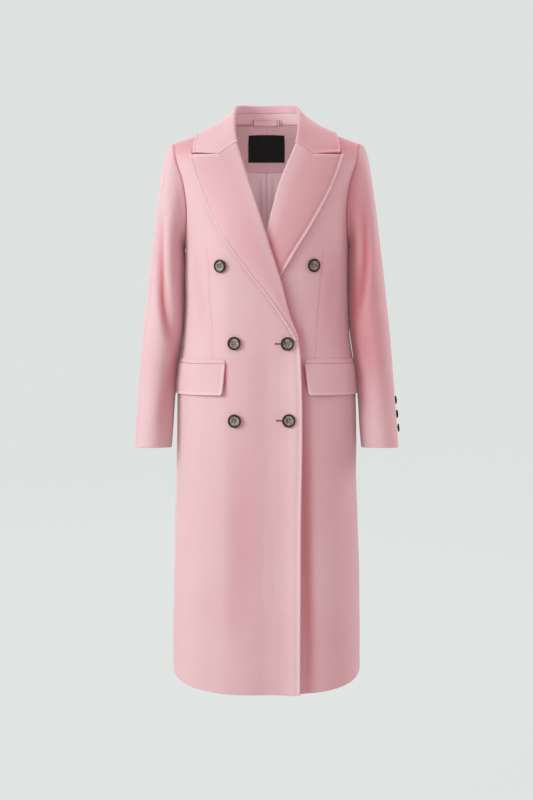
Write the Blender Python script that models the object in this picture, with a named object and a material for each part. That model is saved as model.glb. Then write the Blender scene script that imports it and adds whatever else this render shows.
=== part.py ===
"""A long double-breasted wool overcoat with wide peak lapels, held out in its worn shape.

Metres, +Z up. The front faces -Y and the wearer's left is +X. Heights in the tables are measured
up from the hem. The finished pieces are lowered by NAPE_HEIGHT, so that the centre of the neck
opening, level with the nape seam, is the origin.
"""

import bisect
import functools
import math

import bmesh
import bpy
import numpy as np
from mathutils import Vector

# Driving sizes
NAPE_HEIGHT = 1.2035
ARMPIT_HEIGHT = 0.935
TIP_X, TIP_HEIGHT = 0.2025, 1.155
NECK_X, NECK_SEAM_Y = 0.080, 0.020
SHOULDER_SLOPE = 0.36
NECK_HEIGHT = TIP_HEIGHT + SHOULDER_SLOPE * (TIP_X - NECK_X)
SHOULDER_ROUNDING = 0.070
HEM_RISE, HEM_RISE_REACH = 0.020, 0.30
CLOTH = 0.0025
LAPEL_CLOTH = 0.0026
SEAM_GAP = 0.0003
SMALL_STEP = 0.0004

# Outline of the body at each height. A power of 2 is an ellipse, and more is squarer.
BODY_COLUMNS = ("height", "half_width", "front_depth", "back_depth", "front_power", "back_power")
BODY_SECTIONS = (
    (0.000, 0.2145, 0.200, 0.170, 3.00, 2.6),
    (0.150, 0.2090, 0.189, 0.163, 2.90, 2.6),
    (0.300, 0.2035, 0.177, 0.155, 2.80, 2.5),
    (0.450, 0.1970, 0.165, 0.146, 2.70, 2.5),
    (0.600, 0.1945, 0.155, 0.137, 2.60, 2.5),
    (0.680, 0.1910, 0.149, 0.128, 2.60, 2.4),
    (0.740, 0.1815, 0.143, 0.116, 2.50, 2.4),
    (0.800, 0.1770, 0.139, 0.108, 2.50, 2.3),
    (0.880, 0.1755, 0.140, 0.110, 2.50, 2.3),
    (0.960, 0.1750, 0.139, 0.118, 2.50, 2.3),
    (1.020, 0.1790, 0.126, 0.121, 2.50, 2.3),
    (1.080, 0.1930, 0.108, 0.117, 2.50, 2.4),
    (1.130, 0.2100, 0.094, 0.108, 2.60, 2.5),
    (1.160, 0.2200, 0.086, 0.100, 2.60, 2.5),
    (1.210, 0.2300, 0.080, 0.084, 2.60, 2.5),
)

# How far each front reaches past the centre: straight edge, roll line, then neck edge.
EDGE_COLUMNS = ("height", "reach")
TOP_FRONT_EDGE = (
    (0.000, 0.0705),
    (0.350, 0.0710),
    (0.680, 0.0712),
    (0.726, 0.0685),
    (0.752, 0.0628),
    (0.790, 0.0470),
    (0.870, 0.0250),
    (0.958, -0.0035),
    (1.027, -0.0257),
    (1.096, -0.0476),
    (1.150, -0.0645),
    (1.199, -0.0800),
)
UNDER_FRONT_EDGE = (
    (0.000, 0.0700),
    (0.350, 0.0700),
    (0.700, 0.0700),
    (0.760, 0.0630),
    (0.800, 0.0500),
    (0.966, -0.0004),
    (1.017, -0.0154),
    (1.052, -0.0257),
    (1.087, -0.0380),
    (1.150, -0.0645),
    (1.199, -0.0800),
)
GORGE_HEIGHT = 1.150

# Outer edge of each lapel, from the break up to the peak; "out" is measured to its own side.
LAPEL_COLUMNS = ("height", "out")
TOP_LAPEL_EDGE = (
    (0.745, -0.0580),
    (0.780, -0.0376),
    (0.836, -0.0004),
    (0.883, 0.0380),
    (0.916, 0.0632),
    (0.943, 0.0822),
    (0.971, 0.0980),
    (1.040, 0.1304),
    (1.085, 0.1468),
    (1.126, 0.1591),
)
UNDER_LAPEL_EDGE = (
    (0.790, -0.0440),
    (0.836, -0.0004),
    (0.871, 0.0249),
    (0.899, 0.0421),
    (0.934, 0.0626),
    (0.970, 0.0853),
    (1.008, 0.1071),
    (1.066, 0.1365),
    (1.126, 0.1585),
)
NOTCH_X, NOTCH_HEIGHT = 0.0983, 1.1296
PEAK_X, PEAK_HEIGHT = 0.1591, 1.1261
TIP_OF_COLLAR_X, TIP_OF_COLLAR_HEIGHT = 0.1525, 1.1357
# Share of the way across the leaf at which the gorge seam ends in the notch
NOTCH_SHARE = 0.36
LEAF_LIFT_AT_EDGE = 0.0028
ROLL_RADIUS, FLAT_ROLL_RADIUS = 0.0032, 0.0016

# Where the top front lies over the other one, it stands out by this much.
LAP_LIFT_LOW, LAP_LIFT_HIGH = 0.0038, 0.0078

# Armhole, seen from the side
ARMHOLE_HALF_HEIGHT = (TIP_HEIGHT - ARMPIT_HEIGHT) / 2
ARMHOLE_FRONT, ARMHOLE_BACK, ARMHOLE_POWER = 0.056, 0.066, 2.3

# Sleeve below the cap
SLEEVE_COLUMNS = ("height", "outer_x", "inner_x", "centre_y", "half_depth")
SLEEVE_SECTIONS = (
    (0.5085, 0.2850, 0.2040, -0.060, 0.0510),
    (0.5510, 0.2818, 0.2015, -0.054, 0.0530),
    (0.6090, 0.2772, 0.2003, -0.045, 0.0560),
    (0.6680, 0.2730, 0.1995, -0.035, 0.0600),
    (0.7200, 0.2690, 0.1905, -0.027, 0.0640),
    (0.7800, 0.2640, 0.1818, -0.018, 0.0690),
    (0.8400, 0.2572, 0.1790, -0.010, 0.0730),
    (0.9000, 0.2500, 0.1782, -0.004, 0.0750),
)
CUFF_HEIGHT, RING_HEIGHT = SLEEVE_SECTIONS[0][0], SLEEVE_SECTIONS[-1][0]
CUFF_TILT = 0.13
SLEEVE_SEAM_PART = 0.40
FRONT_SEAM_CUFF = math.radians(118)
BACK_SEAM_CUFF = {1: math.radians(-6), -1: math.radians(-34)}

# Collar lines from centre back (station 0) round to the gorge (station 1)
COLLAR_COLUMNS = ("station", "x", "y", "height")
FOLD_LINE = (
    (0.00, 0.0000, 0.0830, 1.2430),
    (0.12, 0.0270, 0.0795, 1.2430),
    (0.24, 0.0485, 0.0660, 1.2425),
    (0.34, 0.0605, 0.0470, 1.2390),
    (0.46, 0.0650, 0.0220, 1.2285),
    (0.60, 0.0658, -0.0130, 1.2140),
    (0.70, 0.0655, -0.0370, 1.2020),
    (0.80, 0.0650, -0.0590, 1.1860),
    (0.90, 0.0635, -0.0755, 1.1685),
    (1.00, 0.0600, -0.0885, 1.1512),
)
COLLAR_EDGE_LINE = (
    (0.00, 0.0000, 0.1080, 1.1660),
    (0.12, 0.0480, 0.1050, 1.1660),
    (0.24, 0.0900, 0.0910, 1.1690),
    (0.34, 0.1150, 0.0700, 1.1730),
    (0.46, 0.1340, 0.0400, 1.1780),
    (0.60, 0.1445, 0.0080, 1.1800),
    (0.70, 0.1480, -0.0150, 1.1760),
    (0.80, 0.1500, -0.0380, 1.1660),
    (0.90, 0.1515, -0.0580, 1.1530),
    (1.00, TIP_OF_COLLAR_X, -0.0800, TIP_OF_COLLAR_HEIGHT),
)
NECK_POINT_STATION, BACK_NECK_STEPS = 0.46, 7
COLLAR_FOLD_RADIUS, FOLD_END_RISE = 0.0042, 0.0048
STAND_GAP, STAND_END = 0.0009, 0.80
LEAF_CLEARANCE, EDGE_CLEARANCE = 0.0055, 0.0034
STAND_SHARE = 0.60

# Pockets: heights at the front end and at the side end
POCKET_FRONT_X = {-1: 0.0865, 1: 0.0800}
POCKET_SIDE_ANGLE = math.radians(77)
WELT_TOP, WELT_DEPTH = (0.7065, 0.7005), 0.0090
POCKET_LIFT = 0.0008
FLAP_TOP, FLAP_DEPTH = (0.6971, 0.6911), 0.0660

# Buttons of the front: place across and height
FRONT_BUTTONS = {
    "button_top_right": (-0.0942, 0.8986),
    "button_top_left": (0.0967, 0.9000),
    "button_middle_right": (-0.0664, 0.7400),
    "button_middle_left": (0.0425, 0.7390),
    "button_low_right": (-0.0660, 0.5790),
    "button_low_left": (0.0455, 0.5800),
}
FRONT_BUTTON_RADIUS, CUFF_BUTTON_RADIUS = 0.0140, 0.0090
CUFF_BUTTON_HEIGHTS = (0.5500, 0.5795, 0.6090)

# Inside of the neck
FACING_CLOTH, LINING_CLOTH, LABEL_CLOTH, LOOP_CLOTH = 0.0015, 0.0010, 0.0010, 0.0016
FACING_INSET = CLOTH + SEAM_GAP
LABEL_INSET = FACING_INSET + FACING_CLOTH + 4 * SEAM_GAP
LOOP_INSET = FACING_INSET + FACING_CLOTH + 1.5 * SEAM_GAP
LABEL_HALF_WIDTH, LABEL_BOTTOM, LABEL_TOP = 0.0395, 1.1235, 1.1815
LOOP_HALF_LENGTH, LOOP_MIDDLE, LOOP_HALF_WIDTH = 0.0310, 1.2060, 0.0047

# Colours of the materials: red, green, blue, then roughness
FINISHES = {
    "wool": (0.76, 0.46, 0.48, 0.90),
    "lining": (0.72, 0.50, 0.58, 0.35),
    "horn": (0.16, 0.13, 0.10, 0.25),
    "label": (0.03, 0.03, 0.035, 0.55),
}


def smooth_curve(stations, values):
    """A function that runs smoothly through the values and straight on past both ends."""
    places = [float(station) for station in stations]
    levels = np.array(values, float)
    slopes = np.gradient(levels, np.array(places), axis=0)
    if levels.ndim == 1:
        levels, slopes = levels.tolist(), slopes.tolist()

    def at(place):
        first = min(max(bisect.bisect_left(places, place) - 1, 0), len(places) - 2)
        span = places[first + 1] - places[first]
        part = (place - places[first]) / span
        if part < 0:
            return levels[first] + slopes[first] * (place - places[first])
        if part > 1:
            return levels[first + 1] + slopes[first + 1] * (place - places[first + 1])
        start = (2 * part**3 - 3 * part**2 + 1) * levels[first]
        start = start + (part**3 - 2 * part**2 + part) * span * slopes[first]
        end = (3 * part**2 - 2 * part**3) * levels[first + 1]
        return start + end + (part**3 - part**2) * span * slopes[first + 1]

    return at


def table_curve(rows, columns, name):
    """A smooth curve of one named column over the height."""
    column = columns.index(name)
    return smooth_curve([row[0] for row in rows], [row[column] for row in rows])


def mix(start, end, part):
    return start + (end - start) * part


def ease(start, end, value):
    """0 at start, 1 at end, and smooth between them."""
    part = min(max((value - start) / (end - start), 0.0), 1.0)
    return part * part * (3 - 2 * part)


def unit(vector):
    return vector / np.linalg.norm(vector)


BODY = {name: table_curve(BODY_SECTIONS, BODY_COLUMNS, name) for name in BODY_COLUMNS[1:]}
SLEEVE = {name: table_curve(SLEEVE_SECTIONS, SLEEVE_COLUMNS, name) for name in SLEEVE_COLUMNS[1:]}
# The top front is the wearer's right one, on side -1. The under front is on side 1.
FRONT_REACH = {
    -1: table_curve(TOP_FRONT_EDGE, EDGE_COLUMNS, "reach"),
    1: table_curve(UNDER_FRONT_EDGE, EDGE_COLUMNS, "reach"),
}
LAPEL_OUT = {
    -1: table_curve(TOP_LAPEL_EDGE, LAPEL_COLUMNS, "out"),
    1: table_curve(UNDER_LAPEL_EDGE, LAPEL_COLUMNS, "out"),
}
LAPEL_BREAK = {-1: TOP_LAPEL_EDGE[0][0], 1: UNDER_LAPEL_EDGE[0][0]}


# ---- The body's outer surface


def shoulder_height(x):
    reach = abs(x)
    if reach >= NECK_X:
        return TIP_HEIGHT + SHOULDER_SLOPE * (TIP_X - reach)
    return NECK_HEIGHT + SHOULDER_ROUNDING * (1 - reach / NECK_X)


def shoulder_seam_y(x):
    return NECK_SEAM_Y * min(max((TIP_X - abs(x)) / (TIP_X - NECK_X), 0.0), 1.0)


def rounding(x, height):
    """0 on the shoulder seam and 1 where the body has its full depth."""
    part = min(max((shoulder_height(x) - height) / SHOULDER_ROUNDING, 0.0), 1.0)
    return math.sqrt(1 - (1 - part) ** 2)


def surface(angle, height, front):
    """The body's point at an angle from straight ahead (or straight back) towards +X."""
    half_width = BODY["half_width"](height)
    depth = BODY["front_depth" if front else "back_depth"](height)
    power = BODY["front_power" if front else "back_power"](height)
    across, along = abs(math.sin(angle)), abs(math.cos(angle))
    radius = ((across / half_width) ** power + (along / depth) ** power) ** (-1 / power)
    x = radius * math.sin(angle)
    share = rounding(x, height)
    y = shoulder_seam_y(x) * (1 - share) + (-1 if front else 1) * radius * math.cos(angle) * share
    rise = HEM_RISE * across**4 * max(0.0, 1 - height / HEM_RISE_REACH) ** 2
    return np.array((x, y, height + rise))


def angle_at(x, height, front):
    half_width = BODY["half_width"](height)
    depth = BODY["front_depth" if front else "back_depth"](height)
    power = BODY["front_power" if front else "back_power"](height)
    share = min(abs(x) / half_width, 1.0)
    return math.atan2(x, depth * (1 - share**power) ** (1 / power))


def lap_lift(x, height, side):
    """How far the top front stands out to pass over the under front and its lapel."""
    if side > 0:
        return 0.0
    lift = mix(LAP_LIFT_LOW, LAP_LIFT_HIGH, ease(0.66, 0.75, height))
    return lift * (1 - ease(0.078, 0.130, -x)) * (1 - ease(0.99, 1.06, height))


def front_skin(x, height, side):
    point = surface(angle_at(x, height, True), height, True)
    point[1] -= lap_lift(x, height, side) + SEAM_GAP / 2
    return point


def front_normal(x, height, side):
    step = SMALL_STEP
    across = front_skin(x + step, height, side) - front_skin(x - step, height, side)
    up = front_skin(x, height + step, side) - front_skin(x, height - step, side)
    return unit(np.cross(across, up))


def surface_x(y, height):
    """How far out the body's surface lies at a depth y, near the armhole."""
    front = y < 0
    ahead = -1 if front else 1
    low = 0.05
    high = min(BODY["half_width"](height), TIP_X + (TIP_HEIGHT - height) / SHOULDER_SLOPE)
    for _ in range(40):
        middle = (low + high) / 2
        found = surface(angle_at(middle, height, front), height, front)[1]
        if found * ahead > y * ahead:
            low = middle
        else:
            high = middle
    return high


@functools.lru_cache(maxsize=None)
def armhole_place(turn):
    """The armhole's seam on the +X side: 0 at the shoulder tip, then forwards, down and round."""
    across, up = math.sin(turn), math.cos(turn)
    depth = ARMHOLE_FRONT if across > 0 else ARMHOLE_BACK
    y = -math.copysign(abs(across) ** (2 / ARMHOLE_POWER), across) * depth
    height = ARMPIT_HEIGHT + ARMHOLE_HALF_HEIGHT
    height += math.copysign(abs(up) ** (2 / ARMHOLE_POWER), up) * ARMHOLE_HALF_HEIGHT
    return surface_x(y, height), y, height


def armhole(turn):
    return np.array(armhole_place(turn))


# ---- Panels of the body

ARMHOLE_START = 0.70
SIDE_ANGLE = math.pi / 2
GORGE_PART = (GORGE_HEIGHT - ARMPIT_HEIGHT) / (NECK_HEIGHT - ARMPIT_HEIGHT)
# Rows of the panels: heights below the armpit, then shares of the way up the armhole.
FRONT_LOW_ROWS = (0.0, 0.085, 0.17, 0.255, 0.34, 0.43, 0.52, 0.60, 0.66, 0.70, 0.745, 0.79)
FRONT_LOW_ROWS += (0.835, 0.885, ARMPIT_HEIGHT)
FRONT_HIGH_ROWS = (0.14, 0.28, 0.40, 0.51, 0.62, 0.72, GORGE_PART, 0.86, 0.91, 0.955, 0.98, 0.993, 1.0)
BACK_LOW_ROWS = (0.0, 0.12, 0.24, 0.36, 0.48, 0.60, 0.70, 0.79, 0.87, ARMPIT_HEIGHT)
BACK_HIGH_ROWS = (0.14, 0.28, 0.40, 0.52, 0.64, 0.76, 0.88, 1.0)
FACING_START = 0.64


def panel_rows(low, high):
    rows = [height / ARMPIT_HEIGHT * ARMHOLE_START for height in low]
    return rows + [mix(ARMHOLE_START, 1.0, part) for part in high]


def armhole_turns(high, first, last):
    """The turns round the armhole at which the rows of a panel meet it."""
    return [math.pi * (1 - part) for part in high if first <= part <= last]


def panel_point(up, across, front, inner_edge, inner_top):
    """A point of the +X half of a panel: up from hem to shoulder, across from side to inner edge.

    inner_edge gives x at a height, and inner_top is the height at which that edge ends.
    """
    if up <= ARMHOLE_START:
        height = ARMPIT_HEIGHT * up / ARMHOLE_START
        inner = angle_at(inner_edge(height), height, front)
        return surface(mix(SIDE_ANGLE, inner, across), height, front)
    part = min((up - ARMHOLE_START) / (1 - ARMHOLE_START), 1.0)
    seam = armhole(math.pi * (1 - part) * (1 if front else -1))
    inner_height = mix(ARMPIT_HEIGHT, inner_top, part)
    inner_x = inner_edge(inner_height)
    top_height = shoulder_height if front else back_neck_height
    seam_share = (seam[2] - ARMPIT_HEIGHT) / (top_height(seam[0]) - ARMPIT_HEIGHT)
    inner_share = (inner_height - ARMPIT_HEIGHT) / (top_height(inner_x) - ARMPIT_HEIGHT)
    start = angle_at(seam[0], seam[2], front)
    end = angle_at(inner_x, inner_height, front)
    angle, share = mix(start, end, across), mix(seam_share, inner_share, across)
    height = mix(seam[2], inner_height, across)
    for _ in range(8):
        x = surface(angle, height, front)[0]
        height = ARMPIT_HEIGHT + (top_height(x) - ARMPIT_HEIGHT) * share
    return surface(angle, height, front)


def back_neck_height(x):
    """The top edge of the back: the neck seam, then the shoulder seam."""
    if abs(x) < NECK_X:
        return NAPE_HEIGHT - (NAPE_HEIGHT - NECK_HEIGHT) * (x / NECK_X) ** 2
    return shoulder_height(x)


def front_panel(side):
    def edge(height):
        return -FRONT_REACH[side](height)

    def point(up, across):
        found = panel_point(up, across, True, edge, NECK_HEIGHT)
        found[0] *= side
        found[1] -= lap_lift(found[0], found[2], side) + SEAM_GAP / 2
        return found

    return point


def back_panel(side):
    def point(up, across):
        found = panel_point(up, across, False, lambda height: 0.0, NAPE_HEIGHT)
        found[0] = side * (found[0] + SEAM_GAP / 2)
        found[1] += SEAM_GAP / 2
        return found

    return point


# ---- Lapels


def lapel_heights(side):
    """Heights on the roll line: the same as the rows of the front that it folds from."""
    low = [height for height in FRONT_LOW_ROWS if height >= LAPEL_BREAK[side]]
    high = [mix(ARMPIT_HEIGHT, NECK_HEIGHT, part) for part in FRONT_HIGH_ROWS if part <= GORGE_PART]
    return low + high


def lapel_rows(side):
    low = LAPEL_BREAK[side]

    def roll_point(up):
        height = mix(low, GORGE_HEIGHT - SEAM_GAP, up)
        return np.array((-FRONT_REACH[side](height), height))

    def outer_point(up):
        height = mix(low, PEAK_HEIGHT, up)
        return np.array((LAPEL_OUT[side](height), height))

    return roll_point, outer_point


def roll_frame(side, height):
    """A point of the roll line, with the directions towards the opening and out of the cloth."""

    def on_line(level):
        return front_skin(-side * FRONT_REACH[side](level), level, side)

    normal = front_normal(-side * FRONT_REACH[side](height), height, side)
    line = on_line(height + SMALL_STEP) - on_line(height - SMALL_STEP)
    return on_line(height), unit(np.cross(normal, line)) * side, normal


def gorge_line(part):
    """Across the top of the lapel, from the roll line by the notch to the peak, as x and height."""
    start = np.array((-FRONT_REACH[-1](GORGE_HEIGHT), GORGE_HEIGHT - SEAM_GAP))
    notch = np.array((NOTCH_X, NOTCH_HEIGHT - SEAM_GAP))
    peak = np.array((PEAK_X, PEAK_HEIGHT))
    if part < NOTCH_SHARE:
        return mix(start, notch, part / NOTCH_SHARE)
    return mix(notch, peak, (part - NOTCH_SHARE) / (1 - NOTCH_SHARE))


def lapel(side):
    """Up from the break to the gorge; across 0 to 1 rolls over the fold, 1 to 2 crosses the leaf."""
    roll_point, outer_point = lapel_rows(side)

    def radius_at(height):
        if side > 0:
            return mix(FLAT_ROLL_RADIUS, ROLL_RADIUS, ease(1.00, 1.08, height))
        return mix(FLAT_ROLL_RADIUS, ROLL_RADIUS, ease(0.74, 0.84, height))

    def point(up, across):
        roll = roll_point(up)
        radius = radius_at(roll[1])
        if across > 1.0:
            part = across - 1.0
            place = mix(roll, outer_point(up), part)
            straight = mix(roll_point(1.0), outer_point(1.0), part)
            place = place + (gorge_line(part) - straight) * ease(0.72, 1.0, up)
            lift = mix(2 * radius - CLOTH / 2, LEAF_LIFT_AT_EDGE, part**0.8)
            x = side * place[0]
            return front_skin(x, place[1], side) + front_normal(x, place[1], side) * lift
        edge, inward, normal = roll_frame(side, roll[1])
        centre = edge + inward * SEAM_GAP + normal * (radius - CLOTH / 2)
        turn = math.pi * across
        return centre + radius * (inward * math.sin(turn) - normal * math.cos(turn))

    return point


# ---- Collar and stand


def whole_line(rows):
    """The line of a table of the +X half, carried on over the centre back to the other half."""
    mirror = [(-station, -x, y, height) for station, x, y, height in reversed(rows[1:])]
    whole = mirror + list(rows)
    return smooth_curve([row[0] for row in whole], [row[1:] for row in whole])


fold_line = whole_line(FOLD_LINE)
collar_edge_line = whole_line(COLLAR_EDGE_LINE)


def back_column(x):
    """The column of the back that meets its top edge at x."""
    return 1 - angle_at(x, back_neck_height(x), False) / angle_at(TIP_X, TIP_HEIGHT, False)


def neck_stations():
    """Stations that meet the body where its own rows and columns do, so that seams stay parallel."""
    half = [mix(0.0, NECK_POINT_STATION, number / BACK_NECK_STEPS) for number in range(BACK_NECK_STEPS)]
    for part in reversed(FRONT_HIGH_ROWS):
        if part >= GORGE_PART:
            drop = (NECK_HEIGHT - mix(ARMPIT_HEIGHT, NECK_HEIGHT, part)) / (NECK_HEIGHT - GORGE_HEIGHT)
            half.append(mix(NECK_POINT_STATION, 1.0, math.sqrt(max(drop, 0.0))))
    return [-station for station in reversed(half[1:])] + half


def neck_seam(station):
    """The top edge of the body: along the back's neck to the shoulder, then down the front."""
    if station <= NECK_POINT_STATION:
        x = NECK_X * math.sin(math.pi / 2 * station / NECK_POINT_STATION)
        height = back_neck_height(x)
        return surface(angle_at(x, height, False), height, False)
    part = (station - NECK_POINT_STATION) / (1 - NECK_POINT_STATION)
    height = NECK_HEIGHT - (NECK_HEIGHT - GORGE_HEIGHT) * part**2
    x = -FRONT_REACH[1](height)
    return surface(angle_at(x, height, True), height, True)


def clear_of_body(point, clearance):
    """The point, moved out from inside the chest until it lies this far off the body.

    It moves along a line from the middle of the chest, a little below and nearer the centre.
    """
    middle = np.array((point[0] * 0.6, 0.015, point[2] - 0.06))
    ray = point - middle
    far = np.linalg.norm(ray)
    ray = ray / far

    def inside(distance):
        x, y, height = middle + ray * distance
        if height >= shoulder_height(x) or abs(x) >= BODY["half_width"](height):
            return False
        front = surface(angle_at(x, height, True), height, True)[1]
        back = surface(angle_at(x, height, False), height, False)[1]
        return front < y < back

    low, high = 0.0, 0.4
    for _ in range(30):
        half = (low + high) / 2
        if inside(half):
            low = half
        else:
            high = half
    return middle + ray * max(far, low + clearance)


def collar_frame(station):
    """The neck seam, the fold, and the directions up the stand and out of the neck."""
    seam = neck_seam(station)
    edge, inward, normal = roll_frame(1, GORGE_HEIGHT)
    end = edge + inward * FOLD_END_RISE - normal * CLOTH / 2
    near_end = ease(0.72, 1.0, station)
    fold = fold_line(station) + (end - fold_line(1.0)) * near_end
    along = fold_line(station + 0.002) - fold_line(station - 0.002)
    up = fold - seam
    up = unit(up - unit(along) * np.dot(up, unit(along)))
    outward = unit(np.cross(up, along))
    up, outward = unit(mix(up, inward, near_end)), mix(outward, normal, near_end)
    outward = unit(outward - up * np.dot(outward, up))
    return seam - outward * CLOTH / 2, fold, up, outward


def stand_share(station):
    return mix(STAND_SHARE, 0.10, ease(0.45, 0.92, abs(station)))


def mirrored(function):
    """A function of the +X half, carried over both halves by the sign of the station."""

    def point(station, across):
        found = function(abs(station), across)
        found[0] = math.copysign(1.0, station) * found[0] if station else 0.0
        return found

    return point


def collar_half(station, across):
    """Across 0 to 1 runs up the inside to the fold, 1 to 2 over the fold, 2 to 3 down the leaf."""
    seam, fold, up, outward = collar_frame(station)
    radius = mix(COLLAR_FOLD_RADIUS, ROLL_RADIUS, ease(0.6, 1.0, station))
    gap = mix(STAND_GAP, SEAM_GAP, ease(0.78, 0.92, station))
    low = mix(seam, fold, stand_share(station)) + up * gap
    top = fold - up * radius
    if across <= 1.0:
        return mix(low, top, across)
    if across <= 2.0:
        turn = math.pi * (across - 1.0)
        centre = top + outward * radius
        return centre + radius * (up * math.sin(turn) - outward * math.cos(turn))
    part = across - 2.0
    start = top + outward * 2 * radius
    edge = clear_of_body(collar_edge_line(station), EDGE_CLEARANCE)
    length = np.linalg.norm(edge - start)
    place = bezier(start, start - up * 0.16 * length, mix(edge, start, 0.30), edge, part)
    gorge = collar_front_edge(part)
    straight = bezier(*collar_end_curve(), part)
    place = place + (gorge - straight) * ease(0.70, 1.0, station)
    return clear_of_body(place, mix(LEAF_CLEARANCE, EDGE_CLEARANCE, part))


def collar_end_curve():
    seam, fold, up, outward = collar_frame(1.0)
    start = fold - up * ROLL_RADIUS + outward * 2 * ROLL_RADIUS
    edge = clear_of_body(collar_edge_line(1.0), EDGE_CLEARANCE)
    length = np.linalg.norm(edge - start)
    return start, start - up * 0.16 * length, mix(edge, start, 0.30), edge


def collar_front_edge(part):
    """The collar's front edge: down the gorge to the notch, then out to the collar's tip."""
    notch = np.array((NOTCH_X, NOTCH_HEIGHT + 2 * SEAM_GAP))
    tip = np.array((TIP_OF_COLLAR_X, TIP_OF_COLLAR_HEIGHT))
    begin = np.array((-FRONT_REACH[-1](GORGE_HEIGHT), GORGE_HEIGHT + 2 * SEAM_GAP))
    if part < NOTCH_SHARE:
        place = mix(begin, notch, part / NOTCH_SHARE)
    else:
        place = mix(notch, tip, (part - NOTCH_SHARE) / (1 - NOTCH_SHARE))
    lift = mix(2 * ROLL_RADIUS - CLOTH / 2, LEAF_LIFT_AT_EDGE, part**0.8)
    return front_skin(place[0], place[1], 1) + front_normal(place[0], place[1], 1) * lift


def stand_half(station, across):
    """Across 0 to 1 runs from the neck seam up to the collar's seam."""
    seam, fold, up, _ = collar_frame(station)
    high = mix(seam, fold, stand_share(station))
    return mix(seam + up * SEAM_GAP, high, across)


def bezier(first, second, third, last, part):
    rest = 1 - part
    start = first * rest**3 + second * 3 * rest**2 * part
    return start + third * 3 * rest * part**2 + last * part**3


# ---- Sleeves


def sleeve_tube(turn, height):
    outer, inner = SLEEVE["outer_x"](height), SLEEVE["inner_x"](height)
    y = -SLEEVE["half_depth"](height) * math.sin(turn)
    tilt = CUFF_TILT * (1 - ease(CUFF_HEIGHT, 0.75, height))
    x = (outer + inner) / 2 + (outer - inner) / 2 * math.cos(turn)
    return np.array((x, SLEEVE["centre_y"](height) + y, height - tilt * y))


def by_turn(turn, top, side, bottom):
    up, out = math.cos(turn), abs(math.sin(turn))
    weights = (max(up, 0.0), out, max(-up, 0.0))
    return (top * weights[0] + side * weights[1] + bottom * weights[2]) / sum(weights)


def sleeve_surface(turn, down):
    """down is 0 at the armhole, 1 where the cap ends and 2 at the cuff."""
    if down > 1.0:
        return sleeve_tube(turn, mix(RING_HEIGHT, CUFF_HEIGHT, down - 1.0))
    seam = armhole((turn + math.pi) % (2 * math.pi) - math.pi)
    seam = seam + np.array((SEAM_GAP + 0.0001, 0.0, 0.0))
    ring = sleeve_tube(turn, RING_HEIGHT)
    upward = unit(sleeve_tube(turn, RING_HEIGHT + SMALL_STEP) - ring)
    leave = unit(np.array((1.0, -0.25 * math.sin(turn), by_turn(turn, -0.15, -0.10, -0.60))))
    first_pull = by_turn(turn, 0.0195, 0.024, 0.006)
    last_pull = by_turn(turn, 0.160, 0.070, 0.012)
    return bezier(seam, seam + leave * first_pull, ring + upward * last_pull, ring, down)


def sleeve_piece(side, upper):
    """Across is the turn at the armhole; further down, the piece swings round with its seams."""
    front_top = math.pi * (1 - SLEEVE_SEAM_PART)
    back_cuff = BACK_SEAM_CUFF[side]
    top = (-front_top, front_top) if upper else (front_top, 2 * math.pi - front_top)
    cuff = (back_cuff, FRONT_SEAM_CUFF) if upper else (FRONT_SEAM_CUFF, back_cuff + 2 * math.pi)
    gap = SEAM_GAP / 0.1

    def point(down, across):
        share = (across - top[0]) / (top[1] - top[0])
        turn = mix(across, mix(cuff[0], cuff[1], share), down / 2)
        turn += gap * (1 - 2 * min(max(share, 0.0), 1.0))
        found = sleeve_surface(turn, down)
        found[0] *= side
        return found

    return point


def sleeve_turns(upper):
    front = armhole_turns(FRONT_HIGH_ROWS, SLEEVE_SEAM_PART, 1.0)
    back = armhole_turns(BACK_HIGH_ROWS, SLEEVE_SEAM_PART, 1.0)
    if upper:
        return [-turn for turn in back[:-1]] + front[::-1]
    front = armhole_turns(FRONT_HIGH_ROWS, 0.0, SLEEVE_SEAM_PART)[::-1]
    back = armhole_turns(BACK_HIGH_ROWS, 0.0, SLEEVE_SEAM_PART)
    return front + [math.pi] + [2 * math.pi - turn for turn in back]


# ---- Pockets, neck facing, lining, label and loop


def on_front(side, lift):
    """Across 0 to 1 from the pocket's front end to its side end, at a height."""

    def point(across, height):
        start = angle_at(POCKET_FRONT_X[side], height, True)
        angle = side * mix(start, POCKET_SIDE_ANGLE, across)
        found = surface(angle, height, True)
        found[1] -= lap_lift(found[0], height, side) + SEAM_GAP / 2
        step = 0.01
        beside = surface(angle + step, height, True) - surface(angle - step, height, True)
        above = surface(angle, height + step, True) - surface(angle, height - step, True)
        return found + unit(np.cross(beside, above)) * lift

    return point


def pocket_strip(side, tops, depth, lift, kick):
    def point(across, down):
        height = mix(tops[0], tops[1], across) - depth * down
        return on_front(side, lift + kick * down**2)(across, height)

    return point


def inside_back(x, height, inset):
    """A point inside the back, this far in from its outer surface."""
    step = SMALL_STEP

    def outer(place, level):
        return surface(angle_at(place, level, False), level, False)

    across = outer(x + step, height) - outer(x - step, height)
    above = outer(x, height + step) - outer(x, height - step)
    return outer(x, height) + unit(np.cross(across, above)) * inset


def both_backs(up, station):
    """Both backs in one sheet: station -1 to 1 goes from the right side, over the centre, to the left."""
    found = panel_point(up, 1 - abs(station), False, lambda height: 0.0, NAPE_HEIGHT)
    found[0] = math.copysign(found[0], station)
    found[1] += SEAM_GAP / 2
    return found


def label_point(up, across):
    x = mix(-LABEL_HALF_WIDTH, LABEL_HALF_WIDTH, across)
    return inside_back(x, mix(LABEL_BOTTOM, LABEL_TOP, up), LABEL_INSET)


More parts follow.
